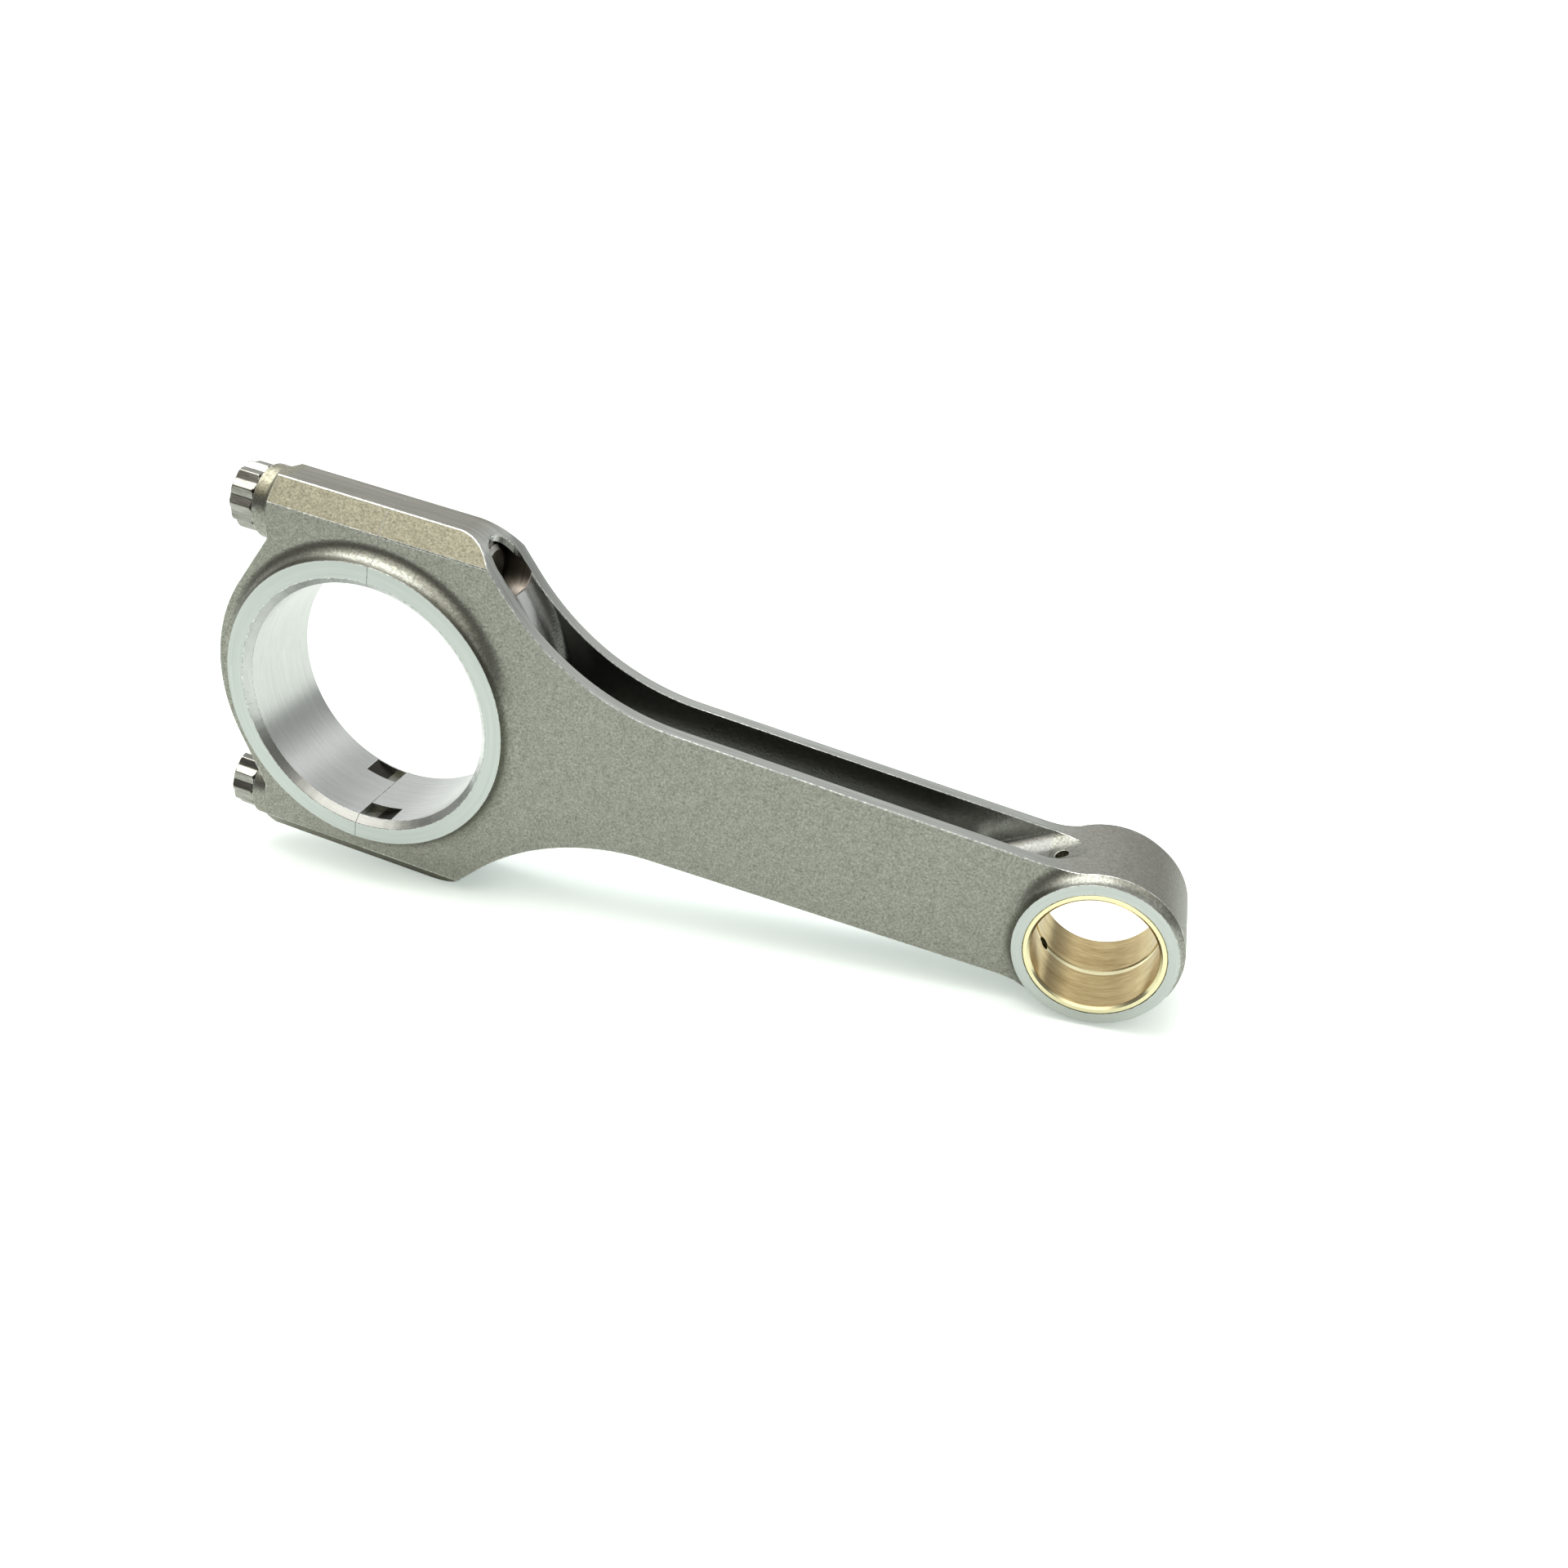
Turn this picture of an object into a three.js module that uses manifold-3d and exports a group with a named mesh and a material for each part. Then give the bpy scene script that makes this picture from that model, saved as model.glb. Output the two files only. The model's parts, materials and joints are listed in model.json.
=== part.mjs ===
// Connecting rod with a bolted bearing cap, for a small engine.
//
// Millimetres. In the rod's own frame +X runs from the crank bore to the pin bore, +Y across the
// thickness and +Z towards the upper bolt. The finished rod stands on its edge on a level surface,
// resting on the lower shoulder of the crank end and on the bottom of the pin eye, so +Z is up.

import * as THREE from 'three';
import { mergeVertices } from 'three/addons/utils/BufferGeometryUtils.js';
import { ConvexGeometry } from 'three/addons/geometries/ConvexGeometry.js';
import Module from 'manifold-3d';

const wasm = await Module();
wasm.setup();

const { degToRad } = THREE.MathUtils;

// ---------------------------------------------------------------------------------------------
// Driving dimensions
// ---------------------------------------------------------------------------------------------

// Centres, bores and widths
const centreDistance = 138;
const crankBore = 48;
const pinBore = 21;
const faceWidth = 21.3;              // over the thrust faces, the same at both ends
const bodyThickness = 15;            // of the beam, the shoulders and the cap

// Crank end
const crankRingWidth = 4.5;          // crank bore wall to the rim of the thrust face
const crankBoreChamfer = 1.3;
const boreToSleeveSeat = 0.89;       // steel left between the crank bore and a sleeve's seat
const sleeveSeatToSide = 1.48;       // steel left between a sleeve's seat and the side flat
const sideFlatLength = 17.4;         // parting plane to the shoulder's theoretical corner
const shoulderAngle = degToRad(48);
const shoulderRound = 9;
const sideBevelHeight = 4.2;
const sideBevelDepth = 3.7;
const partingGap = 0.05;

// Cap
const capWall = 8.4;                 // crank bore wall to the outside of the cap
const capFlareStart = degToRad(150); // where the cap's round back runs off to the bolt seats
const capSeat = 22.3;                // parting plane to the shoulder that carries the bosses
const capCornerRound = 1.5;
const bossLip = 0.6;                 // boss rim past the points of the bolt's head
const bossHeight = 3.7;
const bossFillet = 1.2;

// Beam
const beamHalfHeightAtCrank = 14.8;  // taper line, taken at the crank centre
const beamHalfHeightAtPin = 11.7;    // taper line, taken at the pin centre
const shoulderBlend = 48;
const eyeBlend = 20;

// Channels milled into both edges of the beam
const channelWidth = 9.5;
const channelStart = 22.7;           // parting plane to the cutter's first centre
const channelFloorWall = 12.8;       // crank bore wall to the channel's curved floor
const webThickness = 5;
const rampToPin = 26.6;              // pin centre to where the cutter starts to climb out
const rampAngle = degToRad(34);

// Pin end
const bushWall = 1.25;
const eyeWall = 2.75;
const pinRingWidth = 1.9;            // bush seat to the rim of the thrust face
const bushChamfer = 0.45;
const bushGrooveWidth = 1.5;
const bushGrooveDepth = 0.35;
const oilHoleDiameter = 2.4;
const oilHoleAngle = degToRad(133);  // from +X, about the pin centre

// Bolts, dowel sleeves and bearing tang slots
const boltDiameter = 9.525;
const boltReach = 19.2;              // parting plane to the bolt's tip
const boltTipChamfer = 1;
const headPoints = 12;
const headPointOverhang = 1.54;      // shank to the points of the head
const headValleyOverhang = 0.94;     // shank to the valleys between the points
const headSeatOverhang = 0.84;       // shank to the rim of the bearing face under the head
const headLength = 4.9;
const headSeatHeight = 0.45;
const boltHoleDepth = 24.3;          // parting plane to the bottom of the tapped hole
const sleeveWall = 0.6;
const sleeveLength = 8;
const tangSlotWidth = 4.5;
const tangSlotDepth = 1.5;
const tangSlotOffset = 6.8;          // mid-plane to the middle of a slot
const tangCutterRadius = 10.5;

// Named clearances
const boltClearance = 0.1;           // radial, round the bolt's shank
const headClearance = 0.05;          // under the bolt's head
const pressClearance = 0.05;         // radial, round the bush and the sleeves
const sleeveEndClearance = 0.25;     // sleeve end to the bottom of its counterbore

// Facets
const crankFacets = 80;
const pinFacets = 60;
const boltFacets = 36;
const arcSteps = 6;                  // half the facets of each outline arc
const filletSteps = 4;

// ---------------------------------------------------------------------------------------------
// Derived sizes
// ---------------------------------------------------------------------------------------------

const crankRadius = crankBore / 2;
const crankRingRadius = crankRadius + crankRingWidth;
const bushOuterRadius = pinBore / 2 + bushWall;
const bushSeatRadius = bushOuterRadius + pressClearance;
const pinRingRadius = bushOuterRadius + pinRingWidth;
const eyeRadius = bushOuterRadius + eyeWall;
const halfFace = faceWidth / 2;
const halfBody = bodyThickness / 2;
const faceFillet = halfFace - halfBody;
const capRadius = crankRadius + capWall;
const boltRadius = boltDiameter / 2;
const boltHoleRadius = boltRadius + boltClearance;
const sleeveInnerRadius = boltHoleRadius;
const sleeveOuterRadius = sleeveInnerRadius + sleeveWall;
const sleeveSeatRadius = sleeveOuterRadius + pressClearance;
const sleeveSeatDepth = sleeveLength / 2 + sleeveEndClearance;
const headPointRadius = boltRadius + headPointOverhang;
const headValleyRadius = boltRadius + headValleyOverhang;
const headSeatRadius = boltRadius + headSeatOverhang;
const bossRadius = headPointRadius + bossLip;
const boltOffset = crankRadius + boreToSleeveSeat + sleeveSeatRadius;
const halfHeight = boltOffset + sleeveSeatRadius + sleeveSeatToSide;
const capFace = capSeat + bossHeight;
const beamTaper = (beamHalfHeightAtPin - beamHalfHeightAtCrank) / centreDistance;
const clearOfBody = halfHeight + 10;

// ---------------------------------------------------------------------------------------------
// Solids
// ---------------------------------------------------------------------------------------------

// Turns a closed three.js geometry into a solid that can be joined and cut.
function solid(geometry) {
  geometry.deleteAttribute('normal');
  geometry.deleteAttribute('uv');
  const merged = mergeVertices(geometry, 1e-5);
  const index = Array.from(merged.index.array);
  const triangles = [];
  for (let i = 0; i < index.length; i += 3) {
    const [a, b, c] = index.slice(i, i + 3);
    if (a !== b && b !== c && c !== a) {
      triangles.push(a, b, c);
    }
  }
  return new wasm.Manifold(new wasm.Mesh({
    numProp: 3,
    vertProperties: new Float32Array(merged.attributes.position.array),
    triVerts: new Uint32Array(triangles),
  }));
}

// Turns a solid back into a named mesh with its own material.
function part(name, body, color, roughness, metalness) {
  const { vertProperties, triVerts } = body.getMesh();
  const geometry = new THREE.BufferGeometry();
  geometry.setAttribute('position', new THREE.BufferAttribute(vertProperties, 3));
  geometry.setIndex(new THREE.BufferAttribute(triVerts, 1));
  geometry.computeVertexNormals();
  const mesh = new THREE.Mesh(geometry, new THREE.MeshStandardMaterial({ color, roughness, metalness }));
  mesh.name = name;
  return mesh;
}

// A plate whose outline lies in the XZ plane, from y = low to y = high.
function sidePlate(points, low, high) {
  const geometry = new THREE.ExtrudeGeometry(new THREE.Shape(points), {
    depth: high - low,
    bevelEnabled: false,
  });
  geometry.rotateX(Math.PI / 2);
  geometry.translate(0, high, 0);
  return solid(geometry);
}

// A plate whose outline lies in the XY plane, from z = low to z = high.
function planPlate(points, low, high) {
  const geometry = new THREE.ExtrudeGeometry(new THREE.Shape(points), {
    depth: high - low,
    bevelEnabled: false,
  });
  geometry.translate(0, 0, low);
  return solid(geometry);
}

// A bar whose section lies in the YZ plane, from x = low to x = high.
function endPlate(points, low, high) {
  const geometry = new THREE.ExtrudeGeometry(new THREE.Shape(points), {
    depth: high - low,
    bevelEnabled: false,
  });
  const toYZ = new THREE.Matrix4().makeBasis(
    new THREE.Vector3(0, 1, 0),
    new THREE.Vector3(0, 0, 1),
    new THREE.Vector3(1, 0, 0),
  );
  geometry.applyMatrix4(toYZ);
  geometry.translate(low, 0, 0);
  return solid(geometry);
}

// A box between two corners.
function block(low, high) {
  const size = high.map((value, axis) => value - low[axis]);
  const geometry = new THREE.BoxGeometry(...size);
  geometry.translate(...low.map((value, axis) => value + size[axis] / 2));
  return solid(geometry);
}

// A turned solid about a line along Y through (x, 0, 0). The profile's points are [radius, y],
// and it runs anticlockwise.
function turnedAboutY(profile, x, facets) {
  const points = profile.map(([radius, y]) => new THREE.Vector2(radius, y));
  const geometry = new THREE.LatheGeometry(points, facets);
  geometry.translate(x, 0, 0);
  return solid(geometry);
}

// A turned solid about a line along X through (0, 0, z). The profile's points are [radius, x].
function turnedAboutX(profile, z, facets) {
  const points = profile.map(([radius, x]) => new THREE.Vector2(radius, x));
  const geometry = new THREE.LatheGeometry(points, facets);
  geometry.rotateZ(-Math.PI / 2);
  geometry.translate(0, 0, z);
  return solid(geometry);
}

// A plain cylinder along X.
function pinAlongX(radius, low, high, z) {
  return turnedAboutX([[0, low], [radius, low], [radius, high], [0, high]], z, boltFacets);
}

// Points of a quarter-round or other arc as [radius, height] pairs of a turned profile.
function profileArc(centre, radius, from, to) {
  const steps = Array.from({ length: filletSteps + 1 }, (_, i) => from + ((to - from) * i) / filletSteps);
  return steps.map((angle) => [
    centre[0] + radius * Math.cos(angle),
    centre[1] + radius * Math.sin(angle),
  ]);
}

// ---------------------------------------------------------------------------------------------
// Outlines in the XZ plane
// ---------------------------------------------------------------------------------------------

// Rounds the corner of a path with an arc tangent to the legs from and to.
function roundCorner(path, from, corner, to, radius) {
  const inward = corner.clone().sub(from).normalize();
  const outward = to.clone().sub(corner).normalize();
  const turn = Math.atan2(inward.cross(outward), inward.dot(outward));
  const side = Math.sign(turn);
  const reach = radius * Math.tan(Math.abs(turn) / 2);
  const start = corner.clone().addScaledVector(inward, -reach);
  const centre = new THREE.Vector2(-inward.y, inward.x).multiplyScalar(side * radius).add(start);
  const startAngle = Math.atan2(start.y - centre.y, start.x - centre.x);
  path.lineTo(start.x, start.y);
  path.absarc(centre.x, centre.y, radius, startAngle, startAngle + turn, side < 0);
}

// Mirrors an upper outline, which ends on the X axis, into a closed symmetric one.
function mirrored(path) {
  const all = path.getPoints(arcSteps);
  const upper = all.filter((point, i) => i === 0 || point.distanceTo(all[i - 1]) > 1e-6);
  const lower = upper.slice(0, -1).reverse().map((point) => new THREE.Vector2(point.x, -point.y));
  return [...upper, ...lower];
}

function beamEdge(x) {
  return beamHalfHeightAtCrank + beamTaper * x;
}

// Parting plane, side flat, shoulder, tapered beam, and round the pin eye.
function rodOutline() {
  const slope = Math.tan(shoulderAngle);
  const shoulder = new THREE.Vector2(sideFlatLength, halfHeight);
  const waistX = (halfHeight + slope * sideFlatLength - beamHalfHeightAtCrank) / (slope + beamTaper);
  const waist = new THREE.Vector2(waistX, beamEdge(waistX));

  // The blend into the eye is a circle that touches the taper line and the eye.
  const lift = eyeBlend * Math.hypot(1, beamTaper);
  const reach = eyeBlend + eyeRadius;
  const a = 1 + beamTaper ** 2;
  const edgeAtPin = beamEdge(centreDistance) + lift;
  const b = 2 * beamTaper * edgeAtPin;
  const c = edgeAtPin ** 2 - reach ** 2;
  const blendX = centreDistance + (-b - Math.sqrt(b ** 2 - 4 * a * c)) / (2 * a);
  const blend = new THREE.Vector2(blendX, beamEdge(blendX) + lift);
  const edgeNormal = Math.PI / 2 + Math.atan(beamTaper);
  const fromEye = Math.atan2(blend.y, blend.x - centreDistance);
  const blendStart = new THREE.Vector2(
    blend.x - eyeBlend * Math.cos(edgeNormal),
    blend.y - eyeBlend * Math.sin(edgeNormal),
  );

  const path = new THREE.Path();
  path.moveTo(0, halfHeight);
  roundCorner(path, new THREE.Vector2(0, halfHeight), shoulder, waist, shoulderRound);
  roundCorner(path, shoulder, waist, blendStart, shoulderBlend);
  path.absarc(blend.x, blend.y, eyeBlend, edgeNormal - Math.PI, fromEye - Math.PI, false);
  path.absarc(centreDistance, 0, eyeRadius, fromEye, 0, true);
  return mirrored(path);
}

// Parting plane, side flat, bolt seat, flare, and round the back of the cap.
function capOutline() {
  const flare = new THREE.Vector2(Math.cos(capFlareStart), Math.sin(capFlareStart))
    .multiplyScalar(capRadius);
  const flareSlope = -1 / Math.tan(capFlareStart);
  const seatFoot = new THREE.Vector2(-capSeat, flare.y + flareSlope * (-capSeat - flare.x));
  const start = new THREE.Vector2(-partingGap, halfHeight);
  const path = new THREE.Path();
  path.moveTo(start.x, start.y);
  roundCorner(path, start, new THREE.Vector2(-capSeat, halfHeight), seatFoot, capCornerRound);
  path.lineTo(seatFoot.x, seatFoot.y);
  path.absarc(0, 0, capRadius, capFlareStart, Math.PI, false);
  return mirrored(path);
}

// ---------------------------------------------------------------------------------------------
// Features shared by the rod and its cap
// ---------------------------------------------------------------------------------------------

// A thrust boss: a flat ring proud of the body, with a hollow fillet down to the body's faces.
function thrustBoss(x, ringRadius, facets) {
  const foot = ringRadius + faceFillet;
  const profile = [
    [0, -halfFace],
    ...profileArc([foot, -halfFace], faceFillet, Math.PI, Math.PI / 2),
    ...profileArc([foot, halfFace], faceFillet, -Math.PI / 2, -Math.PI),
    [0, halfFace],
  ];
  return turnedAboutY(profile, x, facets);
}

// A bore through both thrust faces, with a 45 degree chamfer at each mouth.
function boreCutter(x, radius, chamfer, facets) {
  const past = 1;
  const profile = [
    [0, -halfFace - past],
    [radius + chamfer + past, -halfFace - past],
    [radius, -halfFace + chamfer],
    [radius, halfFace - chamfer],
    [radius + chamfer + past, halfFace + past],
    [0, halfFace + past],
  ];
  return turnedAboutY(profile, x, facets);
}

// The long bevels between the side flats and the faces.
function sideBevelCutter(side, face) {
  const past = 1.5;
  const low = new THREE.Vector2(face * halfBody, side * (halfHeight - sideBevelHeight));
  const high = new THREE.Vector2(face * (halfBody - sideBevelDepth), side * halfHeight);
  const run = high.clone().sub(low).multiplyScalar(past);
  const outer = new THREE.Vector2(face * (halfBody + 5), side * (halfHeight + 5));
  const section = [high.clone().sub(run), low.clone().add(run), outer];
  return endPlate(section, -clearOfBody, clearOfBody);
}

// The slot that locates a bearing shell's tang, cut by a small disc that sinks at the parting plane.
function tangSlotCutter(y) {
  const centreZ = -(crankRadius + tangSlotDepth - tangCutterRadius);
  const geometry = new THREE.CylinderGeometry(tangCutterRadius, tangCutterRadius, tangSlotWidth, pinFacets);
  geometry.translate(0, y, centreZ);
  return solid(geometry);
}

// Cuts what both halves of the crank end share: bore, side bevels, bolt holes and sleeve seats.
function machineCrankEnd(blank, holeLow, holeHigh) {
  let body = blank.subtract(boreCutter(0, crankRadius, crankBoreChamfer, crankFacets));
  for (const side of [-1, 1]) {
    body = body.subtract(sideBevelCutter(side, -1)).subtract(sideBevelCutter(side, 1));
    body = body.subtract(pinAlongX(boltHoleRadius, holeLow, holeHigh, side * boltOffset));
    body = body.subtract(pinAlongX(sleeveSeatRadius, -sleeveSeatDepth, sleeveSeatDepth, side * boltOffset));
  }
  return body;
}

// ---------------------------------------------------------------------------------------------
// Rod
// ---------------------------------------------------------------------------------------------

// One milled channel: round at its start, a floor that follows the crank bore and then the web,
// and a straight climb out of the beam towards the pin eye.
function channelCutter(side) {
  const cutter = channelWidth / 2;
  const halfWeb = webThickness / 2;
  const floorRadius = crankRadius + channelFloorWall;
  const rampStart = centreDistance - rampToPin;
  const left = channelStart - channelWidth;
  const top = clearOfBody;

  const floor = new THREE.Path();
  floor.absarc(0, 0, floorRadius, Math.acos(left / floorRadius), Math.asin(halfWeb / floorRadius), true);
  const section = [
    new THREE.Vector2(left, top),
    ...floor.getPoints(arcSteps * 2),
    new THREE.Vector2(rampStart, halfWeb),
    new THREE.Vector2(rampStart, top),
  ].map((point) => new THREE.Vector2(point.x, side * point.y));

  const slot = new THREE.Path();
  slot.moveTo(rampStart, cutter);
  slot.lineTo(channelStart, cutter);
  slot.absarc(channelStart, 0, cutter, Math.PI / 2, (3 * Math.PI) / 2, false);
  slot.lineTo(rampStart, -cutter);

  const low = Math.min(side * halfWeb, side * top);
  const high = Math.max(side * halfWeb, side * top);
  const run = sidePlate(section, -channelWidth, channelWidth)
    .intersect(planPlate(slot.getPoints(arcSteps), low, high));

  const rampEnd = rampStart + (top - halfWeb) / Math.tan(rampAngle);
  const corners = [];
  for (let i = 0; i < boltFacets; i += 1) {
    const angle = (2 * Math.PI * i) / boltFacets;
    const dx = cutter * Math.cos(angle);
    const dy = cutter * Math.sin(angle);
    corners.push(new THREE.Vector3(rampStart + dx, dy, side * halfWeb));
    corners.push(new THREE.Vector3(rampStart + dx, dy, side * top));
    corners.push(new THREE.Vector3(rampEnd + dx, dy, side * top));
  }
  return run.add(solid(new ConvexGeometry(corners)));
}

// An oil hole drilled through the eye and the bush, from the channel's end to the pin bore.
function oilHoleCutter(side) {
  const inner = pinBore / 2 - 2;
  const outer = eyeRadius + 3;
  const geometry = new THREE.CylinderGeometry(oilHoleDiameter / 2, oilHoleDiameter / 2, outer - inner, 16);
  geometry.rotateZ(-Math.PI / 2);
  geometry.translate((inner + outer) / 2, 0, 0);
  geometry.rotateY(-side * oilHoleAngle);
  geometry.translate(centreDistance, 0, 0);
  return solid(geometry);
}

function rodBody() {
  const past = centreDistance + clearOfBody;
  const bodySlab = block([-clearOfBody, -halfBody, -clearOfBody], [past, halfBody, clearOfBody]);
  const faces = bodySlab
    .add(thrustBoss(0, crankRingRadius, crankFacets))
    .add(thrustBoss(centreDistance, pinRingRadius, pinFacets));
  const blank = sidePlate(rodOutline(), -halfFace - 1, halfFace + 1).intersect(faces);

  let body = machineCrankEnd(blank, -1, boltHoleDepth);
  body = body.subtract(boreCutter(centreDistance, bushSeatRadius, 0, pinFacets));
  body = body.subtract(tangSlotCutter(-tangSlotOffset));
  for (const side of [-1, 1]) {
    body = body.subtract(channelCutter(side)).subtract(oilHoleCutter(side));
  }
  return part('rod_body', body, 0x8b8c80, 0.62, 0.9);
}

function smallEndBush() {
  const inner = pinBore / 2;
  const outer = bushOuterRadius;
  const groove = inner + bushGrooveDepth;
  const profile = [
    [inner + bushChamfer, -halfFace],
    [outer, -halfFace],
    [outer, halfFace],
    [inner + bushChamfer, halfFace],
    [inner, halfFace - bushChamfer],
    [inner, bushGrooveWidth / 2],
    [groove, bushGrooveWidth / 2 - bushGrooveDepth],
    [groove, -bushGrooveWidth / 2 + bushGrooveDepth],
    [inner, -bushGrooveWidth / 2],
    [inner, -halfFace + bushChamfer],
    [inner + bushChamfer, -halfFace],
  ];
  let body = turnedAboutY(profile, centreDistance, pinFacets);
  for (const side of [-1, 1]) {
    body = body.subtract(oilHoleCutter(side));
  }
  return part('small_end_bush', body, 0xb89254, 0.35, 1);
}

// ---------------------------------------------------------------------------------------------
// Cap
// ---------------------------------------------------------------------------------------------

// The round boss that a bolt head seats on, with its foot blended into the cap's shoulder.
function boltBoss(z) {
  const foot = bossRadius + bossFillet;
  const profile = [
    [0, -capFace],
    [bossRadius, -capFace],
    ...profileArc([foot, -capSeat - bossFillet], bossFillet, Math.PI, Math.PI / 2),
    [foot, -capSeat + 1],
    [0, -capSeat + 1],
  ];
  return turnedAboutX(profile, z, boltFacets);
}

function bearingCap() {
  const bodySlab = block([-clearOfBody, -halfBody, -clearOfBody], [clearOfBody, halfBody, clearOfBody]);
  const faces = bodySlab.add(thrustBoss(0, crankRingRadius, crankFacets));
  const envelope = block([-clearOfBody, -halfBody, -halfHeight], [clearOfBody, halfBody, halfHeight]);
  const bosses = boltBoss(boltOffset).add(boltBoss(-boltOffset)).intersect(envelope);
  const blank = sidePlate(capOutline(), -halfFace - 1, halfFace + 1).intersect(faces).add(bosses);

  let body = machineCrankEnd(blank, -capFace - 1, 1);
  body = body.subtract(tangSlotCutter(tangSlotOffset));
  return part('bearing_cap', body, 0x8b8c80, 0.62, 0.9);
}

// ---------------------------------------------------------------------------------------------
// Bolts and dowel sleeves
// ---------------------------------------------------------------------------------------------

// A bolt with a twelve-point head, modelled on its own axis along X.
function capBolt(name, z) {
  const seat = -capFace - headClearance;
  const headLow = seat - headSeatHeight - headLength;
  const shank = turnedAboutX([
    [0, seat - headSeatHeight - headLength / 2],
    [headSeatRadius, seat - headSeatHeight - headLength / 2],
    [headSeatRadius, seat],
    [boltRadius, seat],
    [boltRadius, boltReach - boltTipChamfer],
    [boltRadius - boltTipChamfer, boltReach],
    [0, boltReach],
  ], 0, boltFacets);

  const star = [];
  for (let i = 0; i < 2 * headPoints; i += 1) {
    const radius = i % 2 === 0 ? headPointRadius : headValleyRadius;
    const angle = (Math.PI * i) / headPoints;
    star.push(new THREE.Vector2(radius * Math.cos(angle), radius * Math.sin(angle)));
  }
  const head = endPlate(star, headLow, headLow + headLength);
  const mesh = part(name, shank.add(head), 0xb4b4ac, 0.25, 1);
  mesh.position.z = z;
  return mesh;
}

// A thin sleeve round each bolt that lines the cap up with the rod.
function dowelSleeve(name, z) {
  const half = sleeveLength / 2;
  const sleeve = turnedAboutX([
    [sleeveInnerRadius, -half],
    [sleeveOuterRadius, -half],
    [sleeveOuterRadius, half],
    [sleeveInnerRadius, half],
    [sleeveInnerRadius, -half],
  ], 0, boltFacets);
  const mesh = part(name, sleeve, 0x9a9a96, 0.4, 1);
  mesh.position.z = z;
  return mesh;
}

// ---------------------------------------------------------------------------------------------
// Assembly
// ---------------------------------------------------------------------------------------------

const rod = new THREE.Group();
rod.add(
  rodBody(),
  smallEndBush(),
  dowelSleeve('dowel_sleeve_upper', boltOffset),
  dowelSleeve('dowel_sleeve_lower', -boltOffset),
);

const cap = new THREE.Group();
cap.add(
  bearingCap(),
  capBolt('cap_bolt_upper', boltOffset),
  capBolt('cap_bolt_lower', -boltOffset),
);

// Standing on its edge, the rod touches the surface with the lower shoulder's round and with the
// pin eye. The common tangent under those two circles gives the tilt.
const shoulderCentreX = sideFlatLength - shoulderRound * Math.tan(shoulderAngle / 2);
const shoulderCentreZ = halfHeight - shoulderRound;
const run = centreDistance - shoulderCentreX;
const tilt = Math.atan2(shoulderCentreZ, run)
  - Math.asin((eyeRadius - shoulderRound) / Math.hypot(run, shoulderCentreZ));

const standing = new THREE.Group();
standing.rotation.y = tilt;
standing.add(rod, cap);

const group = new THREE.Group();
group.add(standing);

// The origin is on the surface, under the middle of the whole rod.
const box = new THREE.Box3().setFromObject(group, true);
const middle = box.getCenter(new THREE.Vector3());
standing.position.set(-middle.x, -middle.y, -box.min.z);

export default group;
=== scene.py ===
"""A connecting rod with its bolted bearing cap, standing on its edge on a pale table."""

import json
import math

import bpy
import numpy as np
from mathutils import Matrix, Vector


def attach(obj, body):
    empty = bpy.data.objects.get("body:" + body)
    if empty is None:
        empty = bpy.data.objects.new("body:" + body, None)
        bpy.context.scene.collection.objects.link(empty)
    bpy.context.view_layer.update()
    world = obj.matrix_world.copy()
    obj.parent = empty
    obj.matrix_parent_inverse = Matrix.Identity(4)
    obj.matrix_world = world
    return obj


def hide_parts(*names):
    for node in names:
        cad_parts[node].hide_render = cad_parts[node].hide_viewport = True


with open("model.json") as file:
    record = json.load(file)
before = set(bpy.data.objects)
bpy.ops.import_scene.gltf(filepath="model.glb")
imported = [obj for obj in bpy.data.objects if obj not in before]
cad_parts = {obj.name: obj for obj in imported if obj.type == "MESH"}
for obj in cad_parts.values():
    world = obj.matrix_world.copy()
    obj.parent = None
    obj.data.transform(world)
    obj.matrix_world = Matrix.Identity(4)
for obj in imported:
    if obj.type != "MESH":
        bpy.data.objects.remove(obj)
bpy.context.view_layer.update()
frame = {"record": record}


# ----------------------------------------------------------------------------------------------
# Rod body
# ----------------------------------------------------------------------------------------------
# One steel forging: the pin eye, the H-section beam and the upper half of the crank end. Its
# outline and channels are milled, its faces shot-blasted, its thrust faces ground, its bore honed.

# The rod is worked out in millimetres on its own axes: x from the crank bore to the pin bore, y
# across the thickness, z towards the upper bolt. The record's two openings give their place.
bores = {o["name"]: np.array(o["box_m"]).mean(axis=0) for o in frame["record"]["physics"]["openings"]}
crank_centre = bores["crank_bore"]
to_pin = bores["pin_bore"] - crank_centre
tilt = math.atan2(-to_pin[2], to_pin[0])
MILLIMETRE = 0.001
to_part_frame = (
    Matrix.Translation(crank_centre.tolist())
    @ Matrix.Rotation(tilt, 4, "Y")
    @ Matrix.Scale(MILLIMETRE, 4)
)

# The two ends: their centres' distance, the bores, the thrust rings and the thickness.
PIN_X = np.linalg.norm(to_pin) / MILLIMETRE
CRANK_RADIUS = 24.0
CRANK_RING = 28.5
CRANK_CHAMFER = 1.3
BUSH_SEAT = 11.77
PIN_RING = 13.65
HALF_FACE = 10.65
HALF_BODY = 7.5
HALF_HEIGHT = 37.395
FACE_FILLET = HALF_FACE - HALF_BODY

# The outline: side flats with their bevels, shoulders, tapered beam and eye.
SHOULDER_X = 17.4
SHOULDER_ANGLE = math.radians(48)
SHOULDER_ROUND = 9.0
SHOULDER_BLEND = 48.0
TAPER_AT_CRANK = 14.8
TAPER_AT_PIN = 11.7
EYE_RADIUS = 14.5
EYE_BLEND = 20.0
BEVEL_HEIGHT = 4.2
BEVEL_DEPTH = 3.7

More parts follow.
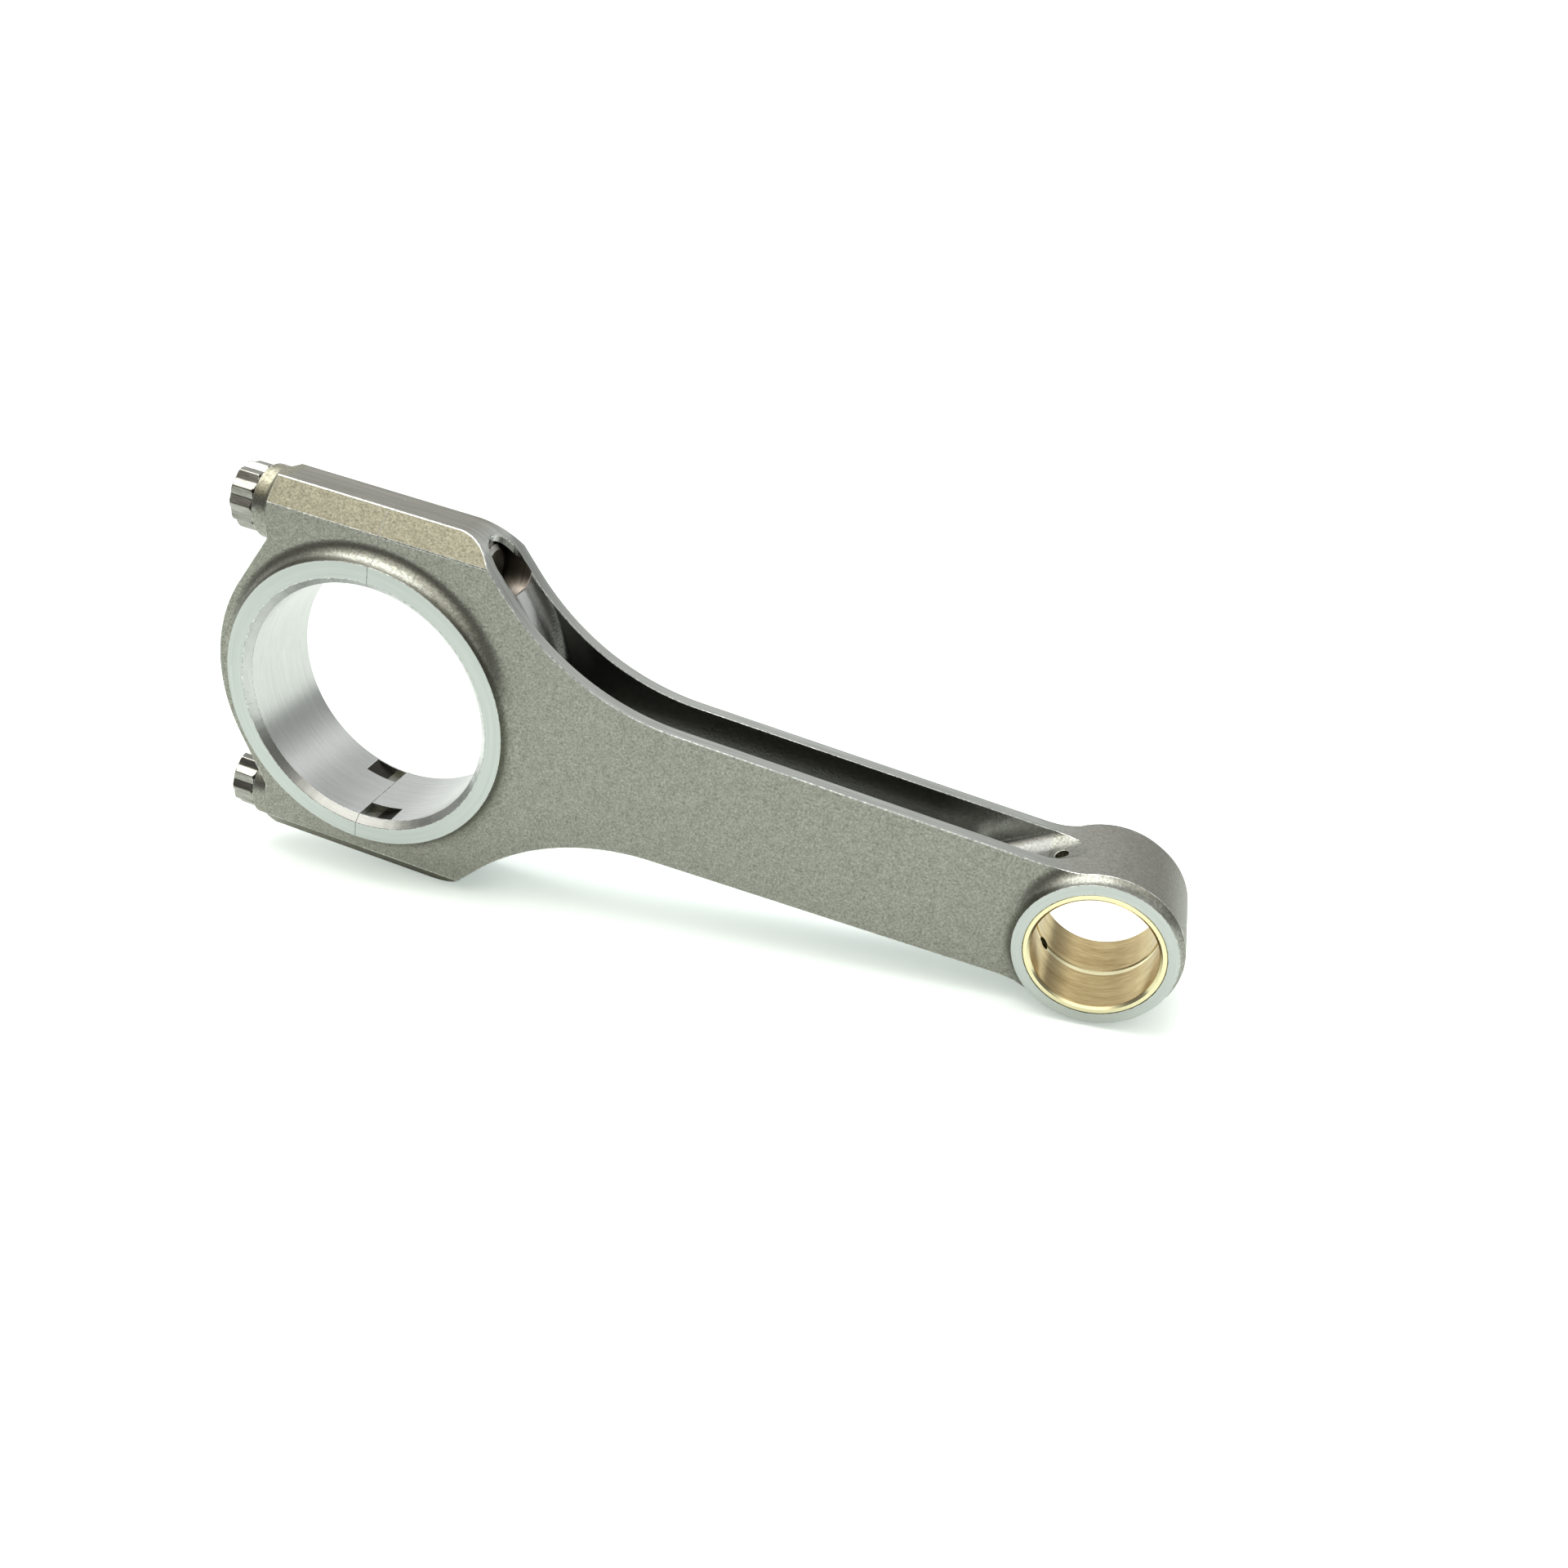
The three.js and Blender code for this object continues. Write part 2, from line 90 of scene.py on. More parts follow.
# The channels, which leave a web between them and run out at the eye.
CHANNEL_HALF = 4.75
CHANNEL_START = 22.7
CHANNEL_FLOOR = 36.8
FLOOR_FALL = 0.22
CHANNEL_CORNER = 3.0
HALF_WEB = 2.5
RAMP_START = PIN_X - 26.6
RAMP_ANGLE = math.radians(34)
RAMP_TOP = 60.0

# The bolt holes, with their seats for the sleeves at the parting plane.
BOLT_OFFSET = 30.4025
BOLT_RADIUS = 4.7625
HOLE_RADIUS = 4.86
SLEEVE_SEAT = 5.51
SLEEVE_DEPTH = 4.25
PARTING_GAP = 0.05
THREAD_PITCH = 25.4 / 24
THREAD_DEPTH = 0.6
THREAD_GAP = 0.05
THREAD_START = 7.0
THREAD_END = 18.0
TROUGH_RADIUS = 4.7
TROUGH_END = 24.3

# The slots for the bearing shells' tangs, and the oil holes at the eye.
TANG_CUTTER = 10.5
TANG_DEPTH = 1.5
TANG_HALF_WIDTH = 2.25
TANG_OFFSET = 6.8
TANG_REACH = 7.0
TANG_TOP = 27.0
OIL_ANGLE = math.radians(133)
OIL_RADIUS = 1.2
OIL_FROM = 8.5
OIL_TO = 19.0

# How finely round shapes are divided, and which edges are broken or stay sharp.
FACET = 0.55
CRANK_FACETS = 240
PIN_FACETS = 160
THREAD_ROWS = 8
TOUCHING = 0.02
EDGE_WIDTH = 0.2
EDGE_ANGLE = math.radians(28)
SHARP_ANGLE = math.radians(35)


def closed_mesh(name, points, faces):
    """A mesh object from an array of points in millimetres and the faces that list them, with
    every face turned outwards by the sign of the volume that the mesh holds."""
    mesh = bpy.data.meshes.new(name)
    mesh.from_pydata(np.asarray(points, float).tolist(), [], faces)
    mesh.calc_loop_triangles()
    corners = np.empty(len(mesh.loop_triangles) * 3, np.int32)
    mesh.loop_triangles.foreach_get("vertices", corners)
    a, b, c = np.asarray(points, float)[corners.reshape(-1, 3)].transpose(1, 0, 2)
    if np.einsum("ij,ij->i", a, np.cross(b, c)).sum() < 0:
        mesh.flip_normals()
    piece = bpy.data.objects.new(name, mesh)
    bpy.context.scene.collection.objects.link(piece)
    return piece


def grid_faces(rows, columns, ring=False):
    """The quads of a grid whose columns close on themselves, and its rows too for a ring."""
    count = rows if ring else rows - 1
    i, j = np.meshgrid(np.arange(count), np.arange(columns), indexing="ij")
    up, on = (i + 1) % rows, (j + 1) % columns
    quads = np.stack([i * columns + j, i * columns + on, up * columns + on, up * columns + j], -1)
    return quads.reshape(-1, 4).tolist()


def turned(name, profile, steps, axis="Y", centre=(0.0, 0.0, 0.0)):
    """A surface of revolution: the profile's point (r, h) at the angle t is (r cos t, h, r sin t)
    about a line along Y, or (h, r cos t, r sin t) about one along X. A profile whose two ends lie
    on the axis gets a fan of triangles there, and any other closes on itself as a ring."""
    profile = np.asarray(profile, float)
    solid = profile[0, 0] == 0
    rows = profile[1:-1] if solid else profile
    angle = np.linspace(0, 2 * np.pi, steps, endpoint=False)
    c, s = rows[:, :1] * np.cos(angle), rows[:, :1] * np.sin(angle)
    h = rows[:, 1:] + 0 * angle
    points = np.stack([c, h, s] if axis == "Y" else [h, c, s], axis=-1).reshape(-1, 3)
    faces = grid_faces(len(rows), steps, ring=not solid)
    if solid:
        along = [0, 1, 0] if axis == "Y" else [1, 0, 0]
        points = np.vstack([points, np.outer(profile[[0, -1], 1], along)])
        faces += end_fans(len(rows), steps)
    return closed_mesh(name, points + np.asarray(centre), faces)


def end_fans(rows, columns):
    """Fans from the two points after a grid's own to its first and its last row."""
    first, last = rows * columns, rows * columns + 1
    top = (rows - 1) * columns
    here = np.arange(columns)
    on = (here + 1) % columns
    low = np.stack([np.full(columns, first), on, here], -1)
    high = np.stack([np.full(columns, last), top + here, top + on], -1)
    return low.tolist() + high.tolist()


def arc(centre, radius, start, end, facet=FACET):
    """Points round a circle from one angle to another, about one facet length apart."""
    t = np.linspace(start, end, max(3, int(abs(end - start) * radius / facet)) + 1)
    return np.stack([centre[0] + radius * np.cos(t), centre[1] + radius * np.sin(t)], axis=-1)


def rounded_corner(before, corner, after, radius):
    """The arc that touches both legs of a corner, as the points that replace the corner."""
    before, corner, after = (np.asarray(p, float) for p in (before, corner, after))
    inward = (corner - before) / np.linalg.norm(corner - before)
    outward = (after - corner) / np.linalg.norm(after - corner)
    turn = math.atan2(inward[0] * outward[1] - inward[1] * outward[0], inward @ outward)
    start = corner - inward * radius * math.tan(abs(turn) / 2)
    centre = start + math.copysign(radius, turn) * np.array([-inward[1], inward[0]])
    angle = math.atan2(*(start - centre)[::-1])
    return arc(centre, radius, angle, angle + turn)


def mirrored(upper):
    """Closes an upper outline that ends on the x axis with its own mirror image below it."""
    gap = np.linalg.norm(np.diff(upper, axis=0), axis=1) > 1e-4
    upper = upper[np.concatenate([[True], gap])]
    return np.vstack([upper, upper[-2::-1] * [1, -1]])


def plate(name, outline, low, high, axis="Y"):
    """An outline carried straight along an axis from low to high, with flat ends."""
    count = len(outline)
    order = {"X": (2, 0, 1), "Y": (0, 2, 1), "Z": (0, 1, 2)}[axis]
    layers = [np.column_stack([outline, np.full(count, at)])[:, order] for at in (low, high)]
    ends = [list(range(count))[::-1], list(range(count, 2 * count))]
    return closed_mesh(name, np.vstack(layers), grid_faces(2, count) + ends)


def settle(piece):
    """Makes the shape that the piece's modifiers give its own mesh."""
    graph = bpy.context.evaluated_depsgraph_get()
    shape = bpy.data.meshes.new_from_object(piece.evaluated_get(graph))
    piece.modifiers.clear()
    piece.data = shape


def combine(piece, others, operation):
    """Joins the others to the piece, cuts them from it, or keeps what they share with it."""
    for other in others:
        step = piece.modifiers.new(operation, "BOOLEAN")
        step.operation = operation
        step.solver = "MANIFOLD"
        step.object = other
        settle(piece)
        bpy.data.objects.remove(other)
    return piece


def thrust_boss(centre_x, ring, steps):
    """A disc as wide as the thrust faces, which falls to the body in a hollow fillet."""
    foot = ring + FACE_FILLET
    quarter = math.pi / 2
    fine = 0.35
    near = arc((foot, -HALF_FACE), FACE_FILLET, 2 * quarter, quarter, fine)
    far = arc((foot, HALF_FACE), FACE_FILLET, -quarter, -2 * quarter, fine)
    profile = np.vstack([[[0, -HALF_FACE]], near, far, [[0, HALF_FACE]]])
    return turned("boss", profile, steps, centre=(centre_x, 0, 0))


def bore(centre_x, radius, chamfer, steps):
    """A cutter for a bore through both faces, with a 45 degree chamfer at each mouth."""
    past = 2.0
    wide = radius + chamfer + past
    profile = [
        [0, -HALF_FACE - past],
        [wide, -HALF_FACE - past],
        [radius, -HALF_FACE + chamfer],
        [radius, HALF_FACE - chamfer],
        [wide, HALF_FACE + past],
        [0, HALF_FACE + past],
    ]
    return turned("bore", profile, steps, centre=(centre_x, 0, 0))


def round_bar(radius, low, high, z, steps=96):
    """A plain cylinder along x."""
    profile = [[0, low], [radius, low], [radius, high], [0, high]]
    return turned("bar", profile, steps, axis="X", centre=(0, 0, z))


def taper_edge(x):
    """Half the beam's height at x, on its straight taper."""
    return TAPER_AT_CRANK + (TAPER_AT_PIN - TAPER_AT_CRANK) * x / PIN_X


def rod_outline():
    """Side flat, rounded shoulder, 48 degree slope, wide blend, tapered beam, eye blend, eye."""
    slope = math.tan(SHOULDER_ANGLE)
    taper = (TAPER_AT_PIN - TAPER_AT_CRANK) / PIN_X
    waist_x = (HALF_HEIGHT + slope * SHOULDER_X - TAPER_AT_CRANK) / (slope + taper)
    waist = (waist_x, taper_edge(waist_x))
    lift = EYE_BLEND * math.hypot(1, taper)
    edge = taper_edge(PIN_X) + lift
    reach = edge**2 - (EYE_BLEND + EYE_RADIUS) ** 2
    square = 1 + taper**2
    root = math.sqrt((2 * taper * edge) ** 2 - 4 * square * reach)
    blend_x = PIN_X + (-2 * taper * edge - root) / (2 * square)
    blend = (blend_x, taper_edge(blend_x) + lift)
    normal = math.pi / 2 + math.atan(taper)
    from_eye = math.atan2(blend[1], blend[0] - PIN_X)
    start, shoulder = (0, HALF_HEIGHT), (SHOULDER_X, HALF_HEIGHT)
    return mirrored(np.vstack([
        [start],
        rounded_corner(start, shoulder, waist, SHOULDER_ROUND),
        rounded_corner(shoulder, waist, (blend_x, taper_edge(blend_x)), SHOULDER_BLEND),
        arc(blend, EYE_BLEND, normal - math.pi, from_eye - math.pi),
        arc((PIN_X, 0), EYE_RADIUS, from_eye, 0),
    ]))


def side_bevel(side, face):
    """A wedge that takes off the corner between a side flat and a face."""
    low = np.array([face * HALF_BODY, side * (HALF_HEIGHT - BEVEL_HEIGHT)])
    high = np.array([face * (HALF_BODY - BEVEL_DEPTH), side * HALF_HEIGHT])
    past = 1.5 * (high - low)
    outside = 5
    corner = [face * (HALF_BODY + outside), side * (HALF_HEIGHT + outside)]
    return plate("bevel", np.array([high + past, low - past, corner]), -60, 60, axis="X")


def channel(side):
    """The milled channel: a slot with a round start, as seen from the side flat, down to a floor
    that is the higher of the bore wall's arc and the web with its ramp, blended where they meet.
    The arc's radius falls a little with x past the bolt holes. The corners curl up by
    r - sqrt(r^2 - u^2), where u is the distance past the flat middle, and less along the ramp."""
    end = PIN_X + 12.0
    step = 0.4
    flat = CHANNEL_HALF - CHANNEL_CORNER
    outside = CHANNEL_HALF + 0.5
    x = np.arange(CHANNEL_START - CHANNEL_HALF - 1, end + 1, step)[:, None]
    corner = flat + CHANNEL_CORNER * np.sin(np.linspace(0, math.pi / 2, 9))
    half = np.concatenate([[0.6], corner, [outside, outside]])
    y = np.concatenate([-half[::-1], half])
    past_flat = np.clip(np.abs(y) - flat, 0, CHANNEL_CORNER)
    curl = CHANNEL_CORNER - np.sqrt(CHANNEL_CORNER**2 - past_flat**2)
    fade = 8
    curl = curl * np.clip(1 - (x - RAMP_START + fade / 2) / fade, 0, 1)
    radius = CHANNEL_FLOOR - FLOOR_FALL * np.clip(x - TROUGH_END, 0, None) + curl
    bore_wall = np.sqrt(np.clip(radius**2 - x**2, 0, None))
    reach = np.sqrt(np.clip(CHANNEL_HALF**2 - y**2, 0, None))
    ramp = HALF_WEB + curl + np.clip(x - reach - RAMP_START, 0, None) * math.tan(RAMP_ANGLE)
    blend = 2.5
    near = np.clip(1 - np.abs(bore_wall - ramp) / blend, 0, 1)
    z = np.maximum(bore_wall, ramp) + blend * near**3 / 6
    z[:, 0] = z[:, -1] = RAMP_TOP
    points = np.stack([x + 0 * y, y + 0 * x, side * z], axis=-1).reshape(-1, 3)
    rows, columns = z.shape
    ends = [list(range(columns))[::-1], list(range((rows - 1) * columns, rows * columns))]
    floor = closed_mesh("channel", points, grid_faces(rows, columns) + ends)
    start = arc((CHANNEL_START, 0), CHANNEL_HALF, math.pi / 2, 3 * math.pi / 2, facet=0.3)
    plan = np.vstack([start, [[end, -CHANNEL_HALF], [end, CHANNEL_HALF]]])
    slot = plate("slot", plan, side * 1.0, side * (RAMP_TOP - 1), axis="Z")
    return combine(floor, [slot], "INTERSECT")


def tang_slot(y):
    """The disc-shaped cutter that sinks the slot for a bearing shell's tang."""
    half = TANG_HALF_WIDTH
    profile = [[0, -half], [TANG_CUTTER, -half], [TANG_CUTTER, half], [0, half]]
    return turned("tang", profile, 120, centre=(0, y, TANG_CUTTER - CRANK_RADIUS - TANG_DEPTH))


def oil_hole(side):
    """A drill from the channel's end, through the eye and the bush, into the pin bore."""
    drill = round_bar(OIL_RADIUS, OIL_FROM, OIL_TO, 0, steps=48)
    turn = Matrix.Rotation(-side * OIL_ANGLE, 4, "Y")
    drill.data.transform(Matrix.Translation((PIN_X, 0, 0)) @ turn)
    return drill


def thread_radius(x, angle, crest):
    """The radius of a right-hand thread at x and an angle round it: flat crests and roots
    joined by straight flanks, once for each pitch."""
    phase = (x / THREAD_PITCH - angle / (2 * np.pi)) % 1
    steepness = 1.6
    crest_share = 0.25
    flank = np.clip(steepness * np.abs(2 * phase - 1) - crest_share, 0, 1)
    return crest - THREAD_DEPTH * flank


def threaded_bar(z):
    """A tap for the bolt's thread, a little larger than the bolt all over."""
    columns = 96
    angle = np.linspace(0, 2 * np.pi, columns, endpoint=False)
    x = np.arange(THREAD_START, THREAD_END, THREAD_PITCH / THREAD_ROWS)
    radius = thread_radius(x[:, None], angle, BOLT_RADIUS + THREAD_GAP)
    points = np.stack([x[:, None] + 0 * radius, radius * np.cos(angle), radius * np.sin(angle)], -1)
    ends = [[x[0], 0, 0], [x[-1], 0, 0]]
    points = np.vstack([points.reshape(-1, 3), ends]) + [0, 0, z]
    return closed_mesh("tap", points, grid_faces(len(x), columns) + end_fans(len(x), columns))


def crank_end(piece, hole_low, hole_high):
    """Cuts what both halves of the crank end share."""
    cutters = [bore(0, CRANK_RADIUS, CRANK_CHAMFER, CRANK_FACETS)]
    for side in (-1, 1):
        cutters += [side_bevel(side, face) for face in (-1, 1)]
        cutters.append(round_bar(HOLE_RADIUS, hole_low, hole_high, side * BOLT_OFFSET))
        cutters.append(round_bar(SLEEVE_SEAT, -SLEEVE_DEPTH, SLEEVE_DEPTH, side * BOLT_OFFSET))
    return combine(piece, cutters, "DIFFERENCE")


def body_and_bosses(*bosses):
    """A slab as thick as the body and larger than the rod, joined to the thrust bosses."""
    low, high, reach = -60.0, 180.0, 60.0
    corners = np.array([[low, -reach], [high, -reach], [high, reach], [low, reach]])
    return combine(plate("slab", corners, -HALF_BODY, HALF_BODY), bosses, "UNION")


def face_values(mesh):
    """The centre and the normal of every face of a mesh, as two arrays."""
    centres = np.empty(len(mesh.polygons) * 3)
    normals = np.empty(len(mesh.polygons) * 3)
    mesh.polygons.foreach_get("center", centres)
    mesh.polygons.foreach_get("normal", normals)
    return centres.reshape(-1, 3), normals.reshape(-1, 3)


def off_outline(centres, outline):
    """How far each centre is from the outline, measured square to y."""
    start = outline[:, None]
    leg = (np.roll(outline, -1, axis=0) - outline)[:, None]
    away = centres[None, :, ::2] - start
    share = np.clip((away * leg).sum(-1) / (leg**2).sum(-1), 0, 1)
    return np.linalg.norm(away - share[..., None] * leg, axis=-1).min(axis=0)


FINISHES = ("blasted", "milled", "channel", "ground", "honed", "drilled", "broken_edge")


def give_materials(piece, materials):
    """Makes these the piece's materials, in this order."""
    piece.data.materials.clear()
    for material in materials:
        piece.data.materials.append(material)


def name_finishes(piece, outline):
    """Gives every face the number of its finish, from where it is and which way it looks."""
    give_materials(piece, steel_finishes)
    centres, normals = face_values(piece.data)
    x, y, z = centres.T
    from_crank = np.hypot(x, z)
    from_bolt = np.hypot(y, np.abs(z) - BOLT_OFFSET)
    finish = np.full(len(x), FINISHES.index("blasted"), np.int32)
    on_outline = off_outline(centres, outline) < TOUCHING
    finish[on_outline] = FINISHES.index("milled")
    before_channel = CHANNEL_START - CHANNEL_HALF - 1
    in_channel = (np.abs(y) < CHANNEL_HALF + 0.01) & (x > before_channel) & (x < PIN_X - BUSH_SEAT)
    finish[in_channel & ~on_outline] = FINISHES.index("channel")
    finish[np.abs(y) > HALF_FACE - 0.01] = FINISHES.index("ground")
    in_bore = (from_crank < CRANK_RADIUS + CRANK_CHAMFER) & (np.abs(normals[:, 1]) < 0.8)
    finish[in_bore] = FINISHES.index("honed")
    in_slot = in_bore & (from_crank > CRANK_RADIUS + 0.1) & (np.abs(y) < HALF_BODY + 1.5)
    finish[in_slot & (np.abs(x) < TANG_REACH)] = FINISHES.index("drilled")
    hole = np.where(x > THREAD_END - 0.5, TROUGH_RADIUS, SLEEVE_SEAT) + TOUCHING
    drilled = (from_bolt < hole) & (x > -24) & (x < TROUGH_END + 0.1)
    finish[drilled] = FINISHES.index("drilled")
    parting = (np.abs(x) < PARTING_GAP + 0.01) & (np.abs(normals[:, 0]) > 0.9)
    finish[parting] = FINISHES.index("ground")
    piece.data.polygons.foreach_set("material_index", finish)


def break_edges(piece, soften):
    """Bevels every outer edge whose faces turn more than the edge angle, and those at the parting
    plane only a little. The function soften gives each edge's share from its middle point."""
    mesh = piece.data
    corner_edge = np.empty(len(mesh.loops), np.int32)
    mesh.loops.foreach_get("edge_index", corner_edge)
    sizes = np.empty(len(mesh.polygons), np.int32)
    mesh.polygons.foreach_get("loop_total", sizes)
    owner = np.repeat(np.arange(len(sizes)), sizes)
    pairs = owner[np.argsort(corner_edge, kind="stable")].reshape(-1, 2)
    centres, normals = face_values(mesh)
    first, second = pairs.T
    turn = (normals[first] * normals[second]).sum(-1)
    apart = centres[second] - centres[first]
    above = (apart * normals[first]).sum(-1)
    hollow = (above > 0) & ((apart * normals[second]).sum(-1) < 0)
    ends = np.empty(len(mesh.edges) * 2, np.int32)
    mesh.edges.foreach_get("vertices", ends)
    points = np.empty(len(mesh.vertices) * 3)
    mesh.vertices.foreach_get("co", points)
    middle = points.reshape(-1, 3)[ends.reshape(-1, 2)].mean(axis=1)
    share = soften(middle)
    at_parting = np.abs(middle[:, 0]) < 0.1
    share = np.where(at_parting, 0.3 * (share > 0), share)
    share = np.where((turn < math.cos(EDGE_ANGLE)) & ~hollow, share, 0.0)
    weight = mesh.attributes.new("bevel_weight_edge", "FLOAT", "EDGE")
    weight.data.foreach_set("value", share)
    bevel = piece.modifiers.new("broken_edges", "BEVEL")
    bevel.limit_method = "WEIGHT"
    bevel.width = EDGE_WIDTH
    bevel.segments = 2
    bevel.use_clamp_overlap = False
    bevel.material = FINISHES.index("broken_edge")
    settle(piece)


def rod_edge_share(middle):
    """Less for the small cuts: the tang slot, the oil holes, the bolt holes and the pin seat."""
    x, y, z = middle.T
    from_pin = np.hypot(x - PIN_X, z)
    from_bolt = np.hypot(y, np.abs(z) - BOLT_OFFSET)
    share = np.ones(len(x))
    share[from_pin < EYE_RADIUS + 4] = 0.5
    share[from_pin < BUSH_SEAT + 0.1] = 0.2
    share[np.hypot(x, z) < CRANK_RING + 0.1] = 0.5
    tang = (np.abs(x) < TANG_REACH) & (np.hypot(x, z) < TANG_TOP) & (np.abs(y) < HALF_FACE - 0.1)
    share[tang] = 0.25
    share[(from_bolt < SLEEVE_SEAT + 0.05) & (x < TROUGH_END - 0.05)] = 0
    share[(from_bolt < TROUGH_RADIUS + 0.05) & (np.abs(x - TROUGH_END) < 0.05)] = 0.4
    return share


def show_smooth(piece):
    """Smooth shading that leaves the flat faces flat: each corner's normal leans to the
    larger faces, and an edge that turns more than the sharp angle stays sharp."""
    mesh = piece.data
    mesh.shade_smooth()
    mesh.set_sharp_from_angle(angle=SHARP_ANGLE)
    weighted = piece.modifiers.new("flat_faces", "WEIGHTED_NORMAL")
    weighted.keep_sharp = True
    weighted.weight = 80
    settle(piece)


def hand_over(piece, body, node):
    """Puts the piece in its place and hands it to the frame."""
    piece.data.transform(to_part_frame)
    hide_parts(node)
    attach(piece, body)


def add(tree, kind, values, **settings):
    """A shader node. Each value is a number for an input, or the output that feeds it, and the
    settings are the node's own."""
    node = tree.nodes.new("ShaderNode" + kind)
    for key, value in settings.items():
        setattr(node, key, value)
    for key, value in values.items():
        if isinstance(value, bpy.types.NodeSocket):
            tree.links.new(value, node.inputs[key])
        else:
            node.inputs[key].default_value = value
    return node


def combined(tree, operation, first, second):
    """The result of a Math node."""
    return add(tree, "Math", {0: first, 1: second}, operation=operation).outputs[0]


def remapped(tree, value, low, high, new_low, new_high):
    """A value's stretch from low to high moved to a new stretch, and held at its ends."""
    ends = {"From Min": low, "From Max": high, "To Min": new_low, "To Max": new_high}
    return add(tree, "MapRange", {"Value": value, **ends}).outputs["Result"]


def part_of(tree, vector, axis):
    """A vector's part along one axis."""
    return add(tree, "SeparateXYZ", {"Vector": vector}).outputs[axis]


def blended(tree, share, first, second, kind="MIX"):
    """The first colour taken towards the second by a share, or multiplied by it. Each colour is
    three numbers or the output that feeds it."""
    values = {0: share}
    for key, colour in (("A", first), ("B", second)):
        values[key] = colour if isinstance(colour, bpy.types.NodeSocket) else (*colour, 1)
    return add(tree, "Mix", values, data_type="RGBA", blend_type=kind).outputs["Result"]


def new_group(name, inputs, outputs):
    """An empty shader node group with float or vector sockets: its tree, inputs and output."""
    tree = bpy.data.node_groups.new(name, "ShaderNodeTree")
    for label, kind in inputs.items():
        tree.interface.new_socket(label, in_out="INPUT", socket_type="NodeSocket" + kind)
    for label, kind in outputs.items():
        tree.interface.new_socket(label, in_out="OUTPUT", socket_type="NodeSocket" + kind)
    entry = tree.nodes.new("NodeGroupInput").outputs
    leave = tree.nodes.new("NodeGroupOutput").inputs
    return tree, entry, leave


def blasted_grain():
    """Shot-blasted grain: overlapping round dents half a millimetre wide over a coarser
    unevenness, and the light and dark specks that they leave in the colour."""
    tree, entry, leave = new_group(
        "blasted_grain", {"Position": "Vector"}, {"Height": "Float", "Speck": "Float"}
    )
    place = entry["Position"]
    dents = add(tree, "TexVoronoi", {"Vector": place, "Scale": 2.6}, feature="SMOOTH_F1").outputs
    noise = {"Vector": place, "Detail": 2}
    fine = add(tree, "TexNoise", {**noise, "Scale": 2.4, "Roughness": 0.6}).outputs["Fac"]
    coarse = add(tree, "TexNoise", {**noise, "Scale": 1.0}).outputs["Fac"]
    height = combined(tree, "ADD", dents["Distance"], fine)
    height = combined(tree, "ADD", height, combined(tree, "MULTIPLY", coarse, 0.8))
    shade = part_of(tree, dents["Color"], "X")
    speck = combined(tree, "ADD", combined(tree, "MULTIPLY", shade, 0.15), fine)
    speck = combined(tree, "ADD", speck, combined(tree, "MULTIPLY", coarse, 0.3))
    tree.links.new(height, leave["Height"])
    tree.links.new(remapped(tree, speck, 0.46, 1.0, 0, 1), leave["Speck"])
    return tree


def tool_marks():
    """The fine lines that a tool leaves: noise drawn out along the cut and close across it.
    Stretch is how many times finer it is along each axis of the position."""
    tree, entry, leave = new_group(
        "tool_marks", {"Position": "Vector", "Stretch": "Vector"}, {"Height": "Float", "Streak": "Float"}
    )
    stretched = {0: entry["Position"], 1: entry["Stretch"]}
    place = add(tree, "VectorMath", stretched, operation="MULTIPLY").outputs[0]
    fine = {"Vector": place, "Scale": 1, "Detail": 4, "Roughness": 0.7}
    lines = add(tree, "TexNoise", fine).outputs["Fac"]
    broad = add(tree, "TexNoise", {"Vector": place, "Scale": 0.22, "Detail": 2}).outputs["Fac"]
    streak = combined(tree, "ADD", lines, combined(tree, "MULTIPLY", broad, 0.7))
    tree.links.new(lines, leave["Height"])
    tree.links.new(remapped(tree, streak, 0.6, 1.1, 0, 1), leave["Streak"])
    return tree


def round_position():
    """Turns a position into one that is wound round the Y axis: the distance from the axis,
    the place along it, and the length round it at the radius."""
    tree, entry, leave = new_group(
        "round_position", {"Position": "Vector", "Radius": "Float"}, {"Wound": "Vector"}
    )
    part = add(tree, "SeparateXYZ", {"Vector": entry["Position"]}).outputs
    x_squared = combined(tree, "MULTIPLY", part["X"], part["X"])
    z_squared = combined(tree, "MULTIPLY", part["Z"], part["Z"])
    distance = combined(tree, "SQRT", combined(tree, "ADD", x_squared, z_squared), 0)
    turn = combined(tree, "ARCTAN2", part["Z"], part["X"])
    length = combined(tree, "MULTIPLY", turn, entry["Radius"])
    wound = add(tree, "CombineXYZ", {"X": distance, "Y": part["Y"], "Z": length})
    tree.links.new(wound.outputs[0], leave["Wound"])
    return tree


blasted_grain_group = blasted_grain()
tool_marks_group = tool_marks()
round_position_group = round_position()


def own_position(tree, centre=(0.0, 0.0, 0.0)):
    """The position in millimetres on the rod's own axes, from a centre on them."""
    place = to_part_frame @ Vector(centre)
    values = {
        "Vector": add(tree, "TexCoord", {}).outputs["Object"],
        "Location": place,
        "Rotation": (0, tilt, 0),
        "Scale": (MILLIMETRE,) * 3,
    }
    return add(tree, "Mapping", values, vector_type="TEXTURE").outputs[0]


def placed(tree, group, values):
    """A node group placed in a material."""
    return add(tree, "Group", values, node_tree=group).outputs


def metal(name, metallic=1.0, roughness=0.4):
    """A material with a metallic shader: its tree and the shader."""
    material = bpy.data.materials.new(name)
    material.use_nodes = True
    shader = material.node_tree.nodes["Principled BSDF"]
    shader.inputs["Metallic"].default_value = metallic
    shader.inputs["Roughness"].default_value = roughness
    return material, material.node_tree, shader


def coloured(tree, shader, colour):
    """Feeds Base Color."""
    tree.links.new(colour, shader.inputs["Base Color"])


